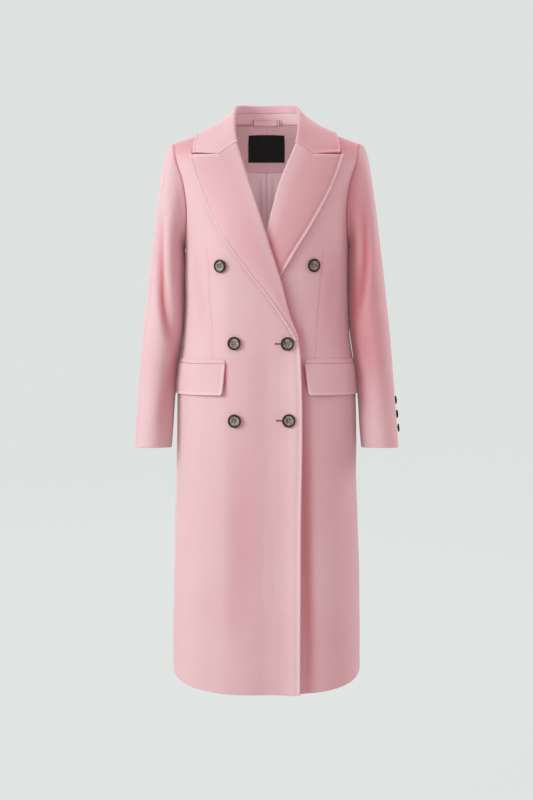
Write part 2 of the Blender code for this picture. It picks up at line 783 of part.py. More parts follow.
def loop_point(up, across):
    """The hanger loop, tacked at both ends and standing off a little between them."""
    swing = 2 * across - 1
    bow = 0.0015 * (1 - swing**2)
    foot = inside_back(LOOP_HALF_LENGTH * swing, NAPE_HEIGHT, LOOP_INSET + bow)
    foot[2] = LOOP_MIDDLE + mix(-LOOP_HALF_WIDTH, LOOP_HALF_WIDTH, up) - bow
    return foot


# ---- Making the meshes


def normal_of(function, first, second, first_step, second_step):
    along = function(first + first_step, second) - function(first - first_step, second)
    across = function(first, second + second_step) - function(first, second - second_step)
    return unit(np.cross(along, across))


def steps(count, start=0.0, end=1.0):
    return [mix(start, end, number / (count - 1)) for number in range(count)]


def add_wall(name, function, firsts, seconds, outer, inner, finish, flip=False):
    """A closed wall: the grid of points moved out by outer and in by inner, joined at its rim."""
    reach = 1e-4
    grids = ([], [])
    for first in firsts:
        for second in seconds:
            normal = normal_of(function, first, second, reach, reach) * (-1 if flip else 1)
            base = function(first, second)
            grids[0].append(base + normal * outer)
            grids[1].append(base - normal * inner)
    rows, columns = len(firsts), len(seconds)
    count = rows * columns
    faces = []
    for row in range(rows - 1):
        for column in range(columns - 1):
            low = row * columns + column
            high = low + columns
            # The diagonal always climbs towards the centre, so that layers keep parallel facets.
            if abs(grids[0][low + 1][0]) < abs(grids[0][low][0]):
                halves = ((low, high, high + 1), (low, high + 1, low + 1))
            else:
                halves = ((low, high, low + 1), (high, high + 1, low + 1))
            for half in halves:
                faces.append(half)
                faces.append(tuple(count + index for index in reversed(half)))
    rim = list(range(columns))
    rim += [row * columns + columns - 1 for row in range(1, rows)]
    rim += [(rows - 1) * columns + column for column in range(columns - 2, -1, -1)]
    rim += [row * columns for row in range(rows - 2, 0, -1)]
    for place, start in enumerate(rim):
        end = rim[(place + 1) % len(rim)]
        faces.append((start, end, count + end))
        faces.append((start, count + end, count + start))
    points = [tuple(point - np.array((0, 0, NAPE_HEIGHT))) for point in grids[0] + grids[1]]
    mesh = bpy.data.meshes.new(name)
    mesh.from_pydata(points, [], faces)
    return finish_object(name, mesh, finish)


def add_button(name, place, normal, radius, finish):
    """A turned button on a short thread stem, with a raised rim and a dished face."""
    profile = (
        (0.0, 0.0),
        (radius * 0.22, 0.0),
        (radius * 0.20, radius * 0.13),
        (radius * 0.84, radius * 0.15),
        (radius * 1.00, radius * 0.30),
        (radius * 0.84, radius * 0.44),
        (radius * 0.62, radius * 0.34),
        (0.0, radius * 0.33),
    )
    sides = 16 if radius > 0.01 else 10
    builder = bmesh.new()
    rings = []
    for out, up in profile:
        if out == 0.0:
            rings.append([builder.verts.new((0, 0, up))])
            continue
        turns = [2 * math.pi * number / sides for number in range(sides)]
        rings.append([builder.verts.new((out * math.cos(t), out * math.sin(t), up)) for t in turns])
    for low, high in zip(rings, rings[1:]):
        for number in range(sides):
            after = (number + 1) % sides
            if len(low) == 1:
                builder.faces.new((low[0], high[after], high[number]))
            elif len(high) == 1:
                builder.faces.new((low[number], low[after], high[0]))
            else:
                builder.faces.new((low[number], low[after], high[after], high[number]))
    mesh = bpy.data.meshes.new(name)
    builder.to_mesh(mesh)
    builder.free()
    made = finish_object(name, mesh, finish)
    made.rotation_euler = Vector(normal).to_track_quat("Z", "Y").to_euler()
    made.location = Vector(place) + Vector(normal) * SEAM_GAP - Vector((0, 0, NAPE_HEIGHT))
    return made


def finish_object(name, mesh, finish):
    builder = bmesh.new()
    builder.from_mesh(mesh)
    bmesh.ops.recalc_face_normals(builder, faces=builder.faces)
    bmesh.ops.triangulate(builder, faces=builder.faces)
    builder.to_mesh(mesh)
    builder.free()
    mesh.shade_smooth()
    mesh.set_sharp_from_angle(angle=math.radians(40))
    made = bpy.data.objects.new(name, mesh)
    bpy.context.scene.collection.objects.link(made)
    made.data.materials.append(MATERIALS[finish])
    return made


def make_material(name, red, green, blue, roughness):
    material = bpy.data.materials.new(name)
    material.use_nodes = True
    shader = material.node_tree.nodes["Principled BSDF"]
    shader.inputs["Base Color"].default_value = (red, green, blue, 1)
    shader.inputs["Roughness"].default_value = roughness
    shader.inputs["Metallic"].default_value = 0.0
    return material


# ---- The pieces


def back_columns():
    """The columns of the back panels: a few across the shoulder, then one at each neck station."""
    at_neck = [station for station in neck_stations() if 0 <= station <= NECK_POINT_STATION]
    half = sorted(back_column(neck_seam(station)[0]) for station in at_neck)
    return steps(6, 0.0, half[0])[:-1] + half


BACK_COLUMNS = back_columns()


def make_body():
    front_rows = panel_rows(FRONT_LOW_ROWS, FRONT_HIGH_ROWS)
    back_rows = panel_rows(BACK_LOW_ROWS, BACK_HIGH_ROWS)
    for side, word in ((1, "left"), (-1, "right")):
        front, back = front_panel(side), back_panel(side)
        add_wall("front_" + word, front, front_rows, steps(12), 0.0, CLOTH, "wool", side < 0)
        add_wall("back_" + word, back, back_rows, BACK_COLUMNS, 0.0, CLOTH, "wool", side > 0)


def make_lapels():
    across = steps(5, 0.0, 1.0) + [1.10, 1.26, 1.36, 1.52, 1.68, 1.84, 2.0]
    half = LAPEL_CLOTH / 2
    for side, word in ((1, "left"), (-1, "right")):
        low = LAPEL_BREAK[side]
        rows = [(height - low) / (GORGE_HEIGHT - low) for height in lapel_heights(side)]
        add_wall("lapel_" + word, lapel(side), rows, across, half, half, "wool", side > 0)


def make_collar():
    half = LAPEL_CLOTH / 2
    stations = neck_stations()
    across = [0.0, 1.0, 1.25, 1.5, 1.75, 2.0, 2.16, 2.36, 2.58, 2.8, 3.0]
    add_wall("collar", mirrored(collar_half), stations, across, half, half, "wool")
    inner = [station for station in stations if abs(station) < STAND_END]
    add_wall("collar_stand", mirrored(stand_half), inner, steps(3), half, half, "wool")


def make_sleeves():
    rows = [0.0, 0.12, 0.26, 0.42, 0.6, 0.8, 1.0] + steps(7, 1.16, 2.0)
    for side, word in ((1, "left"), (-1, "right")):
        for upper, kind in ((True, "upper"), (False, "under")):
            name = "sleeve_" + kind + "_" + word
            piece, turns = sleeve_piece(side, upper), sleeve_turns(upper)
            add_wall(name, piece, rows, turns, 0.0, CLOTH, "wool", side > 0)


def make_pockets():
    for side, word in ((1, "left"), (-1, "right")):
        welt = pocket_strip(side, WELT_TOP, WELT_DEPTH, POCKET_LIFT, 0.0)
        flap = pocket_strip(side, FLAP_TOP, FLAP_DEPTH, POCKET_LIFT, 0.0012)
        add_wall("welt_" + word, welt, steps(12), steps(2), 0.0018, 0.0, "wool", side > 0)
        add_wall("flap_" + word, flap, steps(12), steps(4), 0.0030, 0.0, "wool", side > 0)


def make_inside():
    stations = [across - 1 for across in BACK_COLUMNS] + [1 - across for across in BACK_COLUMNS[-2::-1]]
    inset = FACING_INSET
    first = BACK_HIGH_ROWS.index(FACING_START)
    rows = panel_rows((), BACK_HIGH_ROWS[first:])
    add_wall("back_neck_facing", both_backs, rows, stations, -inset, inset + FACING_CLOTH, "wool")
    rows = panel_rows(BACK_LOW_ROWS, BACK_HIGH_ROWS[: first + 1])
    rows[0] += 0.022
    rows[-1] -= 0.001
    add_wall("back_lining", both_backs, rows, stations, -inset, inset + LINING_CLOTH, "lining")
    add_wall("label", label_point, steps(4), steps(7), 0.0, LABEL_CLOTH, "label")
    add_wall("hanger_loop", loop_point, steps(2), steps(7), 0.0, LOOP_CLOTH, "wool")


def make_buttons():
    for name, (x, height) in FRONT_BUTTONS.items():
        side = 1 if name == "button_top_left" else -1
        normal = front_normal(x, height, side)
        add_button(name, front_skin(x, height, side), normal, FRONT_BUTTON_RADIUS, "horn")
    for side, word in ((1, "left"), (-1, "right")):
        for number, height in enumerate(CUFF_BUTTON_HEIGHTS, 1):
            down = 1 + (RING_HEIGHT - height) / (RING_HEIGHT - CUFF_HEIGHT)
            turn = mix(-math.pi * (1 - SLEEVE_SEAM_PART), BACK_SEAM_CUFF[side], down / 2) + 0.16
            place = sleeve_surface(turn, down)
            normal = normal_of(sleeve_surface, turn, down, 1e-3, 1e-3)
            if normal[0] < 0:
                normal = -normal
            mirror = np.array((side, 1, 1))
            name = "cuff_button_" + word + "_" + str(number)
            add_button(name, place * mirror, normal * mirror, CUFF_BUTTON_RADIUS, "horn")


for leftover in list(bpy.data.objects):
    bpy.data.objects.remove(leftover)
MATERIALS = {name: make_material(name, *values) for name, values in FINISHES.items()}
make_body()
make_lapels()
make_collar()
make_sleeves()
make_pockets()
make_inside()
make_buttons()
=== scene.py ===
import math

import bmesh
import bpy
import numpy as np
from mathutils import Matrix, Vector


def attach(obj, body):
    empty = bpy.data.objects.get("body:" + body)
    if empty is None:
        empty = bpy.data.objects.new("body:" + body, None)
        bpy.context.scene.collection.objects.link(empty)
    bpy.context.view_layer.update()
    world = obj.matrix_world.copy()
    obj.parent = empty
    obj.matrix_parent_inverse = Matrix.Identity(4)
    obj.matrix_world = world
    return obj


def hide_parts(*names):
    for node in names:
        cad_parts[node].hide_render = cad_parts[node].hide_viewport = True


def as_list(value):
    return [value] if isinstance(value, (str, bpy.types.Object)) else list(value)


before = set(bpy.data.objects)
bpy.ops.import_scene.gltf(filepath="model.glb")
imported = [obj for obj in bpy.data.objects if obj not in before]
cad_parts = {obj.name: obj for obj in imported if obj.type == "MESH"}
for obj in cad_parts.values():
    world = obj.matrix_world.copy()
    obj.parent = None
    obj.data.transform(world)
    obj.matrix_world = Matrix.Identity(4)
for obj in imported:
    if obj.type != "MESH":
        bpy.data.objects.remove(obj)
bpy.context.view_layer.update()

# Heights are measured up from the hem. The finished meshes are lowered by the nape's height.
# Side 1 is the wearer's left (+X), the under front. Side -1 is the right, the top front.
napeHeight = 1.2035
seamGap = 0.0003
sewnGap = -0.0002  # sewn edges run a little into each other
words = {1: "left", -1: "right"}


# small maths, all of it on arrays

def mix(start, end, part):
    return start + (end - start) * part


def ease(start, end, value):
    part = np.clip((np.asarray(value, float) - start) / (end - start), 0, 1)
    return part * part * (3 - 2 * part)


def unit(vectors):
    return vectors / np.maximum(np.linalg.norm(vectors, axis=-1, keepdims=True), 1e-12)


def dot(first, second):
    return np.sum(first * second, axis=-1, keepdims=True)


def within(value, low, lowEnd, highEnd, high):
    # 0 outside low and high, 1 from lowEnd to highEnd
    return ease(low, lowEnd, value) * ease(high, highEnd, value)


def bell(value, width):
    return np.exp(-((value / width) ** 2))


def stack(*parts):
    return np.stack(np.broadcast_arrays(*parts), axis=-1)


def pick(chosen, first, second):
    return np.where(chosen[..., None], first, second)


def halve(low, high, steps, isLow):
    # closes in on the value where isLow turns false
    for _ in range(steps):
        middle = (low + high) / 2
        chosen = isLow(middle)
        low, high = np.where(chosen, middle, low), np.where(chosen, high, middle)
    return low, high


def makeCurve(rows):
    # a smooth line through rows of (place, value, ...), straight on past both ends
    table = np.array(rows, float)
    places, levels = table[:, 0], table[:, 1:]
    slopes = np.gradient(levels, places, axis=0)

    def at(place):
        place = np.asarray(place, float)
        first = np.clip(np.searchsorted(places, place) - 1, 0, len(places) - 2)
        span = places[first + 1] - places[first]
        part = (place - places[first]) / span
        held = np.clip(part, 0, 1)
        over = ((part - held) * span)[..., None]
        held, span = held[..., None], span[..., None]
        found = (2 * held**3 - 3 * held**2 + 1) * levels[first]
        found = found + (held**3 - 2 * held**2 + held) * span * slopes[first]
        found = found + (3 * held**2 - 2 * held**3) * levels[first + 1]
        found = found + (held**3 - held**2) * span * slopes[first + 1]
        slope = np.where(over < 0, slopes[first], slopes[first + 1])
        return found + over * slope

    return at


def bezier(first, second, third, last, part):
    rest = 1 - part
    start = first * rest**3 + second * 3 * rest**2 * part
    return start + third * 3 * rest * part**2 + last * part**3


# the body's form

body = {
    "armpitHeight": 0.935, "tipX": 0.2025, "tipHeight": 1.155, "neckX": 0.080, "neckSeamY": 0.020,
    "shoulderSlope": 0.36, "shoulderRounding": 0.070, "hemRise": 0.020, "hemRiseReach": 0.30,
    # height, half width, front depth, back depth, front power, back power
    "sections": (
        (0.000, 0.2077, 0.187, 0.164, 3.00, 2.6), (0.150, 0.2060, 0.179, 0.159, 2.90, 2.6),
        (0.300, 0.2028, 0.171, 0.153, 2.80, 2.5), (0.450, 0.1970, 0.165, 0.146, 2.70, 2.5),
        (0.600, 0.1945, 0.155, 0.137, 2.60, 2.5), (0.680, 0.1910, 0.149, 0.128, 2.60, 2.4),
        (0.740, 0.1815, 0.143, 0.116, 2.50, 2.4), (0.800, 0.1770, 0.139, 0.108, 2.50, 2.3),
        (0.880, 0.1755, 0.140, 0.110, 2.50, 2.3), (0.960, 0.1750, 0.139, 0.118, 2.50, 2.3),
        (1.020, 0.1790, 0.126, 0.121, 2.50, 2.3), (1.080, 0.1930, 0.108, 0.117, 2.50, 2.4),
        (1.130, 0.2100, 0.094, 0.108, 2.60, 2.5), (1.160, 0.2200, 0.086, 0.100, 2.60, 2.5),
        (1.210, 0.2300, 0.080, 0.084, 2.60, 2.5),
    ),
    "lapLift": (0.0038, 0.0078),
}
bodySection = makeCurve(body["sections"])
neckHeight = body["tipHeight"] + body["shoulderSlope"] * (body["tipX"] - body["neckX"])


def sectionAt(height, front):
    found = bodySection(height)
    return found[..., 0], found[..., 1 if front else 2], found[..., 3 if front else 4]


def shoulderHeight(x):
    reach = np.abs(x)
    outside = body["tipHeight"] + body["shoulderSlope"] * (body["tipX"] - reach)
    inside = neckHeight + body["shoulderRounding"] * (1 - reach / body["neckX"])
    return np.where(reach >= body["neckX"], outside, inside)


def rounding(x, height):
    part = np.clip((shoulderHeight(x) - height) / body["shoulderRounding"], 0, 1)
    return np.sqrt(1 - (1 - part) ** 2)


def surface(angle, height, front):
    # the body's plain skin: angle 0 in the middle, a quarter turn at the side, closing at the shoulder
    halfWidth, depth, power = sectionAt(height, front)
    across, along = np.abs(np.sin(angle)), np.abs(np.cos(angle))
    radius = ((across / halfWidth) ** power + (along / depth) ** power) ** (-1 / power)
    x = radius * np.sin(angle)
    share = rounding(x, height)
    seamPart = np.clip((body["tipX"] - np.abs(x)) / (body["tipX"] - body["neckX"]), 0, 1)
    y = body["neckSeamY"] * seamPart * (1 - share)
    y = y + (-1 if front else 1) * radius * np.cos(angle) * share
    low = np.maximum(0.0, 1 - height / body["hemRiseReach"])
    return stack(x, y, height + body["hemRise"] * across**4 * low**2)


def angleAt(x, height, front):
    halfWidth, depth, power = sectionAt(height, front)
    share = np.minimum(np.abs(x) / halfWidth, 1.0)
    return np.arctan2(x, depth * (1 - share**power) ** (1 / power))


def bodySkin(x, height, front):
    # the same skin, by how far out it is
    return surface(angleAt(x, height, front), height, front)


def lapLift(x, height, side):
    # how much further out the top front lies than the under front
    lift = mix(*body["lapLift"], ease(0.66, 0.75, height))
    lift = lift * (1 - ease(0.078, 0.130, -x)) * (1 - ease(0.99, 1.06, height))
    return lift if side < 0 else lift * 0


def frontSkin(x, height, side):
    return bodySkin(x, height, True) - stack(0, lapLift(x, height, side) + seamGap / 2, 0)


def normalOn(function, first, second, step=0.0004):
    along = function(first + step, second) - function(first - step, second)
    across = function(first, second + step) - function(first, second - step)
    return unit(np.cross(along, across))


def frontNormal(x, height, side):
    return normalOn(lambda a, b: frontSkin(a, b, side), x, height)


def offFront(x, height, side, lift):
    return frontSkin(x, height, side) + frontNormal(x, height, side) * lift


# walls of cloth

def linesAlong(length, spacing, fine=(True, True)):
    # shares from 0 to 1, closer together near each end that is rounded
    near = np.array((0.0, 0.0002, 0.0005, 0.0009, 0.0013, 0.0019, 0.0028, 0.0040, 0.0056, 0.0080))
    near = near[near < 0.3 * length]
    start = near if fine[0] else near[:1]
    end = near if fine[1] else near[:1]
    count = max(3, int((length - start[-1] - end[-1]) / spacing))
    middle = np.linspace(start[-1], length - end[-1], count)
    return np.concatenate((start[:-1], middle, (length - end[:-1])[::-1])) / length


def edgeDistances(points):
    # metres over the cloth to the first row, last row, first column and last column
    down = np.linalg.norm(np.diff(points, axis=0), axis=-1)
    over = np.linalg.norm(np.diff(points, axis=1), axis=-1)
    fromFirst = np.concatenate((np.zeros((1, points.shape[1])), np.cumsum(down, axis=0)))
    fromLeft = np.concatenate((np.zeros((points.shape[0], 1)), np.cumsum(over, axis=1)), axis=1)
    return fromFirst, fromFirst[-1] - fromFirst, fromLeft, fromLeft[:, -1:] - fromLeft


def gridNormals(points, flip):
    along, across = np.gradient(points, axis=0), np.gradient(points, axis=1)
    return unit(np.cross(along, across)) * (-1 if flip else 1)


def roundedDrop(distance, radius):
    held = np.minimum(distance, radius)
    return radius - np.sqrt(np.maximum(radius**2 - (radius - held) ** 2, 0))


# what a piece of cloth is like where its own dictionary doesn't say
clothForm = {
    "offset": 0.0, "shadeInside": 0, "free": lambda up, across: 1.0, "slot": "wool", "rounding": 0.97,
    # a sewn seam with painted shade along it, a seam pressed flat, then the lip of a turned edge with the
    # trough beside it and a painted highlight along it
    "seamWidth": 0.0045, "seamDepth": 0.0008, "seamShade": 0.30, "seamShadeWidth": 0.0032,
    "faintDepth": 0.00025, "faintWidth": 0.0012,
    "lip": 0.0008, "lipPlace": 0.0026, "lipWidth": 0.0019,
    "troughShare": 0.8, "troughPlace": 0.0086, "troughWidth": 0.0032,
    "pale": 0.25, "palePlace": 0.0020, "paleWidth": 0.0034,
}


def makeWall(piece, function, rows, columns, flip=False, detail=None):
    # a closed shell round the grid; piece says how thick it is and how each edge is finished
    piece = dict(clothForm, **piece)
    first, second = np.meshgrid(rows, columns, indexing="ij")
    points = function(first, second)
    normals = gridNormals(points, flip)
    distances = edgeDistances(points)
    deep = np.zeros(first.shape)
    if detail is not None:
        lift, deep = detail(points, first, second, distances)
        points = points + normals * lift[..., None]
        normals = gridNormals(points, flip)
    half = piece["thickness"] / 2
    outer = np.full(first.shape, half)
    drop = np.zeros(first.shape)
    free = piece["free"](first, second)
    for distance, finish in zip(distances, piece["edges"]):
        if finish == "seam":  # the neighbour is sewn on here, so only the outside dips
            dip = np.minimum(distance / piece["seamWidth"], 1)
            outer = outer - piece["seamDepth"] * (1 - np.sin(dip * math.pi / 2))
            # painted shade along the seam
            deep = deep + piece["seamShade"] * bell(distance, piece["seamShadeWidth"])
        elif finish == "faint":
            outer = outer - piece["faintDepth"] * bell(distance, piece["faintWidth"])
        else:
            drop = np.maximum(drop, roundedDrop(distance, half) * free)
        if finish == "lip":  # the turned edge is a little thicker than the cloth beside it
            outer = outer + piece["lip"] * bell(distance - piece["lipPlace"], piece["lipWidth"])
            trough = bell(distance - piece["troughPlace"], piece["troughWidth"])
            outer = outer - piece["lip"] * piece["troughShare"] * trough
            # painted highlight along the lip
            deep = deep - piece["pale"] * bell(distance - piece["palePlace"], piece["paleWidth"])
    drop = drop * piece["rounding"]
    middle = points + normals * piece["offset"]
    made = shellObject(piece["name"], middle + normals * (outer - drop)[..., None],
                       middle - normals * (half - drop)[..., None])
    # the deep attribute carries painted shade where positive and painted highlight where negative
    shade = made.data.attributes.new("deep", "FLOAT", "POINT")
    both = np.concatenate((deep.ravel(), deep.ravel() * piece["shadeInside"]))
    shade.data.foreach_set("value", both)
    cut = piece["cut"]  # width, length and area of the flat cloth, how it is held and by what
    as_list(cut[4:])
    standFor(made, [piece.get("node", piece["name"])], piece["slot"], piece.get("material", woolCoating))


def shellObject(name, outside, inside):
    count = outside.shape[0] * outside.shape[1]
    index = np.arange(count).reshape(outside.shape[:2])
    low, right = index[:-1, :-1], index[:-1, 1:]
    up, both = index[1:, :-1], index[1:, 1:]
    faces = [np.stack((low, right, both, up), axis=-1).reshape(-1, 4)]
    faces.append(count + faces[0][:, ::-1])
    rim = np.concatenate((index[0], index[1:, -1], index[-1, -2::-1], index[-2:0:-1, 0]))
    after = np.roll(rim, -1)
    faces.append(np.stack((rim, count + rim, count + after, after), axis=-1))
    points = np.concatenate((outside.reshape(-1, 3), inside.reshape(-1, 3)))
    return meshObject(name, points, np.concatenate(faces).tolist())


def meshObject(name, points, faces, materials=(), faceMaterials=None):
    points = np.asarray(points, float) - (0, 0, napeHeight)
    mesh = bpy.data.meshes.new(name)
    mesh.from_pydata(points.tolist(), [], faces)
    builder = bmesh.new()
    builder.from_mesh(mesh)
    bmesh.ops.recalc_face_normals(builder, faces=builder.faces)
    builder.to_mesh(mesh)
    builder.free()
    for material in materials:
        mesh.materials.append(material)
    if faceMaterials is not None:
        mesh.polygons.foreach_set("material_index", faceMaterials)
    mesh.shade_smooth()
    made = bpy.data.objects.new(name, mesh)
    bpy.context.scene.collection.objects.link(made)
    return made


def standFor(made, nodes, slot, material=None):
    if material is not None:
        made.data.materials.append(material)
    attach(made, "root")
    if nodes:
        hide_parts(*nodes)


# soft troughs and ridges: three turns (degrees) and heights along each, its width and its lift

def creaseLift(turn, height, creases, perDegree):
    lift = np.zeros(np.shape(turn))
    parts = np.linspace(0, 1, 9)
    weights = np.stack(((1 - parts) ** 2, 2 * parts * (1 - parts), parts**2))
    for turns, heights, width, rise in creases:
        ends = np.stack((np.array(turns) * perDegree, heights)) @ weights
        nearest, along = np.full(np.shape(turn), 1e9), np.zeros(np.shape(turn))
        for n in range(len(parts) - 1):
            a, b = ends[:, n], ends[:, n + 1]
            x, z = turn * perDegree - a[0], height - a[1]
            share = (x * (b - a)[0] + z * (b - a)[1]) / np.sum((b - a) ** 2)
            held = np.clip(share, 0, 1)
            gap = np.hypot(x - held * (b - a)[0], z - held * (b - a)[1])
            along = np.where(gap < nearest, (n + held) / (len(parts) - 1), along)
            nearest = np.minimum(gap, nearest)
        fade = np.sin(math.pi * np.clip(0.03 + 0.94 * along, 0, 1)) ** 0.8
        lift = lift + rise * fade * bell(nearest, width)
    return lift


def softWave(points, size=0.0004):
    # the slight unevenness of pressed wool, the same for every layer that lies there
    x, y, z = np.moveaxis(points, -1, 0)
    wave = np.sin(31 * x + 13 * z + 0.6) + np.sin(19 * z - 23 * x + 11 * y + 2.1)
    return size * (wave + np.sin(47 * z + 17 * y + 29 * x + 4.0) * 0.6)


def bodyTurn(points):
    return np.degrees(np.arctan2(points[..., 0], -points[..., 1]))


# the camera and the studio

studio = {
    "cameraPlace": (0.0, -2.8, 0.95), "cameraPitch": 7.051, "lens": 57.856,
    "floorDepth": 0.42, "sweepRadius": 6.0, "sweepRise": 4.2, "sweepBend": 2.2,
    "floorColour": (0.05, 0.052, 0.051), "floorSeen": (0.690, 0.722, 0.707),
    "floorGlow": (0.62, 0.50, 0.51),
    "worldColour": (1.0, 0.77, 0.785), "worldStrength": 0.68,
    # name, place, what it faces, size, power, colour
    "lights": (
        ("keyLight", (-3.1, -1.9, 0.75), (0, 0, -0.55), 2.0, 108, (0.79, 1.01, 0.97)),
        ("frontLight", (-0.6, -3.6, 0.9), (0, 0, -0.55), 1.6, 12, (0.97, 1.0, 0.99)),
        ("rimLight", (3.1, 0.7, 0.6), (0, 0, -0.55), 1.8, 30, (1.0, 0.98, 0.98)),
        ("topLight", (0.2, 1.0, 2.6), (0, 0, -0.55), 2.0, 12, (1.0, 0.97, 0.97)),
        ("backLight", (-0.8, 3.2, 0.9), (0, 0, -0.55), 2.2, 44, (0.97, 1.0, 0.99)),
        # a small soft card inside the neck, facing the back
        ("neckLight", (0.0, -0.035, -0.105), (0.0, 0.100, -0.105), 0.17, 0.075, (1.0, 1.0, 1.0)),
    ),
    "sweepSteps": 17, "sweepSides": 72,
}


def makeLamp(name, place, target, size, power, colour):
    lamp = bpy.data.lights.new(name, "AREA")
    lamp.shape = "DISK"
    lamp.size, lamp.energy, lamp.color = size, power, colour
    light = bpy.data.objects.new(name, lamp)
    light.location = place
    aim = Vector(target) - Vector(place)
    light.rotation_euler = aim.to_track_quat("-Z", "Y").to_euler()
    light.visible_camera = False
    bpy.context.scene.collection.objects.link(light)


def makeStudio():
    camera = bpy.data.objects.new("photoCamera", bpy.data.cameras.new("photoCamera"))
    camera.data.lens = studio["lens"]
    camera.location = Vector(studio["cameraPlace"]) - Vector((0, 0, napeHeight))
    camera.rotation_euler = (math.radians(90 - studio["cameraPitch"]), 0, 0)
    bpy.context.scene.collection.objects.link(camera)
    bpy.context.scene.camera = camera
    bpy.context.scene.view_settings.view_transform = "Standard"

    world = bpy.data.worlds.new("softRoom")
    world.use_nodes = True
    background = world.node_tree.nodes["Background"]
    background.inputs["Color"].default_value = (*studio["worldColour"], 1)
    background.inputs["Strength"].default_value = studio["worldStrength"]
    bpy.context.scene.world = world
    for lamp in studio["lights"]:
        makeLamp(*lamp)

    # one round sheet of paper: flat below, curving up all round
    radii, levels = [0.0], [0.0]
    for turn in np.linspace(0, math.pi / 2, studio["sweepSteps"]):
        radii.append(studio["sweepRadius"] - studio["sweepBend"] * (1 - math.sin(turn)))
        levels.append(studio["sweepBend"] * (1 - math.cos(turn)))
    radii.append(studio["sweepRadius"])
    levels.append(studio["sweepRise"])
    count = studio["sweepSides"]
    turns = np.linspace(0, 2 * math.pi, count + 1)[:-1]
    points = [(0, 0, 0)]
    for radius, level in zip(radii[1:], levels[1:]):
        points += [(radius * math.cos(t), radius * math.sin(t), level) for t in turns]
    faces = [(0, 1 + n, 1 + (n + 1) % count) for n in range(count)]
    for ring in range(len(radii) - 2):
        start = 1 + ring * count
        for n in range(count):
            m = (n + 1) % count
            faces.append((start + n, start + count + n, start + count + m, start + m))
    points = np.array(points) + (0, 0, -studio["floorDepth"])
    floor = meshObject("floor", points, faces)
    paper, tree, shader = newMaterial("palePaper")
    seen = addNode(tree, "ShaderNodeLightPath").outputs["Is Camera Ray"]
    glow = blendColours(tree, seen, (*studio["floorGlow"], 1), (*studio["floorSeen"], 1))
    setInputs(tree, shader, {
        "Base Color": (*studio["floorColour"], 1), "Roughness": 0.95, "Specular IOR Level": 0.0,
        "Emission Color": glow, "Emission Strength": 1.0})
    floor.data.materials.append(paper)


# materials

def newGroup(name, inputs, outputs):
    group = bpy.data.node_groups.new(name, "ShaderNodeTree")
    for label, kind, value in inputs:
        socket = group.interface.new_socket(label, in_out="INPUT", socket_type=kind)
        socket.default_value = value
    for label, kind in outputs:
        group.interface.new_socket(label, in_out="OUTPUT", socket_type=kind)
    return group, group.nodes.new("NodeGroupInput"), group.nodes.new("NodeGroupOutput")


def setInputs(tree, node, values):
    for key, value in values.items():
        if isinstance(value, bpy.types.NodeSocket):
            tree.links.new(value, node.inputs[key])
        else:
            node.inputs[key].default_value = value


def addNode(tree, kind, values=None, **settings):
    node = tree.nodes.new(kind)
    for key, value in settings.items():
        setattr(node, key, value)
    setInputs(tree, node, values or {})
    return node


def addNoise(tree, place, scale, detail=2.0, roughness=0.5, distortion=0.0):
    return addNode(tree, "ShaderNodeTexNoise", {
        "Vector": place, "Scale": scale, "Detail": detail, "Roughness": roughness,
        "Distortion": distortion}).outputs["Fac"]


def objectPlace(tree):
    return addNode(tree, "ShaderNodeTexCoord").outputs["Object"]


def addWave(tree, scale, distortion, direction):
    return addNode(tree, "ShaderNodeTexWave", {
        "Vector": objectPlace(tree), "Scale": scale, "Distortion": distortion},
        bands_direction=direction).outputs["Fac"]


def stretchUp(tree, place, share):
    return addNode(tree, "ShaderNodeMapping", {"Vector": place, "Scale": (1.0, 1.0, share)}).outputs[0]


def shadeDepth(tree):
    return addNode(tree, "ShaderNodeAttribute", attribute_name="deep").outputs["Fac"]


def widen(tree, value, low, high):
    # spreads low to high over 0 to 1
    return addNode(tree, "ShaderNodeMapRange", {
        "Value": value, "From Min": low, "From Max": high}).outputs[0]


def calculate(tree, operation, first, second=0.0, third=0.0):
    node = addNode(tree, "ShaderNodeMath", {0: first, 1: second, 2: third}, operation=operation)
    return node.outputs[0]


def blendColours(tree, factor, first, second):
    return addNode(tree, "ShaderNodeMix", {0: factor, 6: first, 7: second}, data_type="RGBA").outputs[2]


def newMaterial(name):
    material = bpy.data.materials.new(name)
    material.use_nodes = True
    return material, material.node_tree, material.node_tree.nodes["Principled BSDF"]


def finishMaterial(tree, shader, base, rough, specular, height, strength, distance):
    bump = addNode(tree, "ShaderNodeBump", {"Height": height, "Strength": strength, "Distance": distance})
    setInputs(tree, shader, {"Base Color": base, "Roughness": rough, "Specular IOR Level": specular,
                             "Normal": bump.outputs[0]})


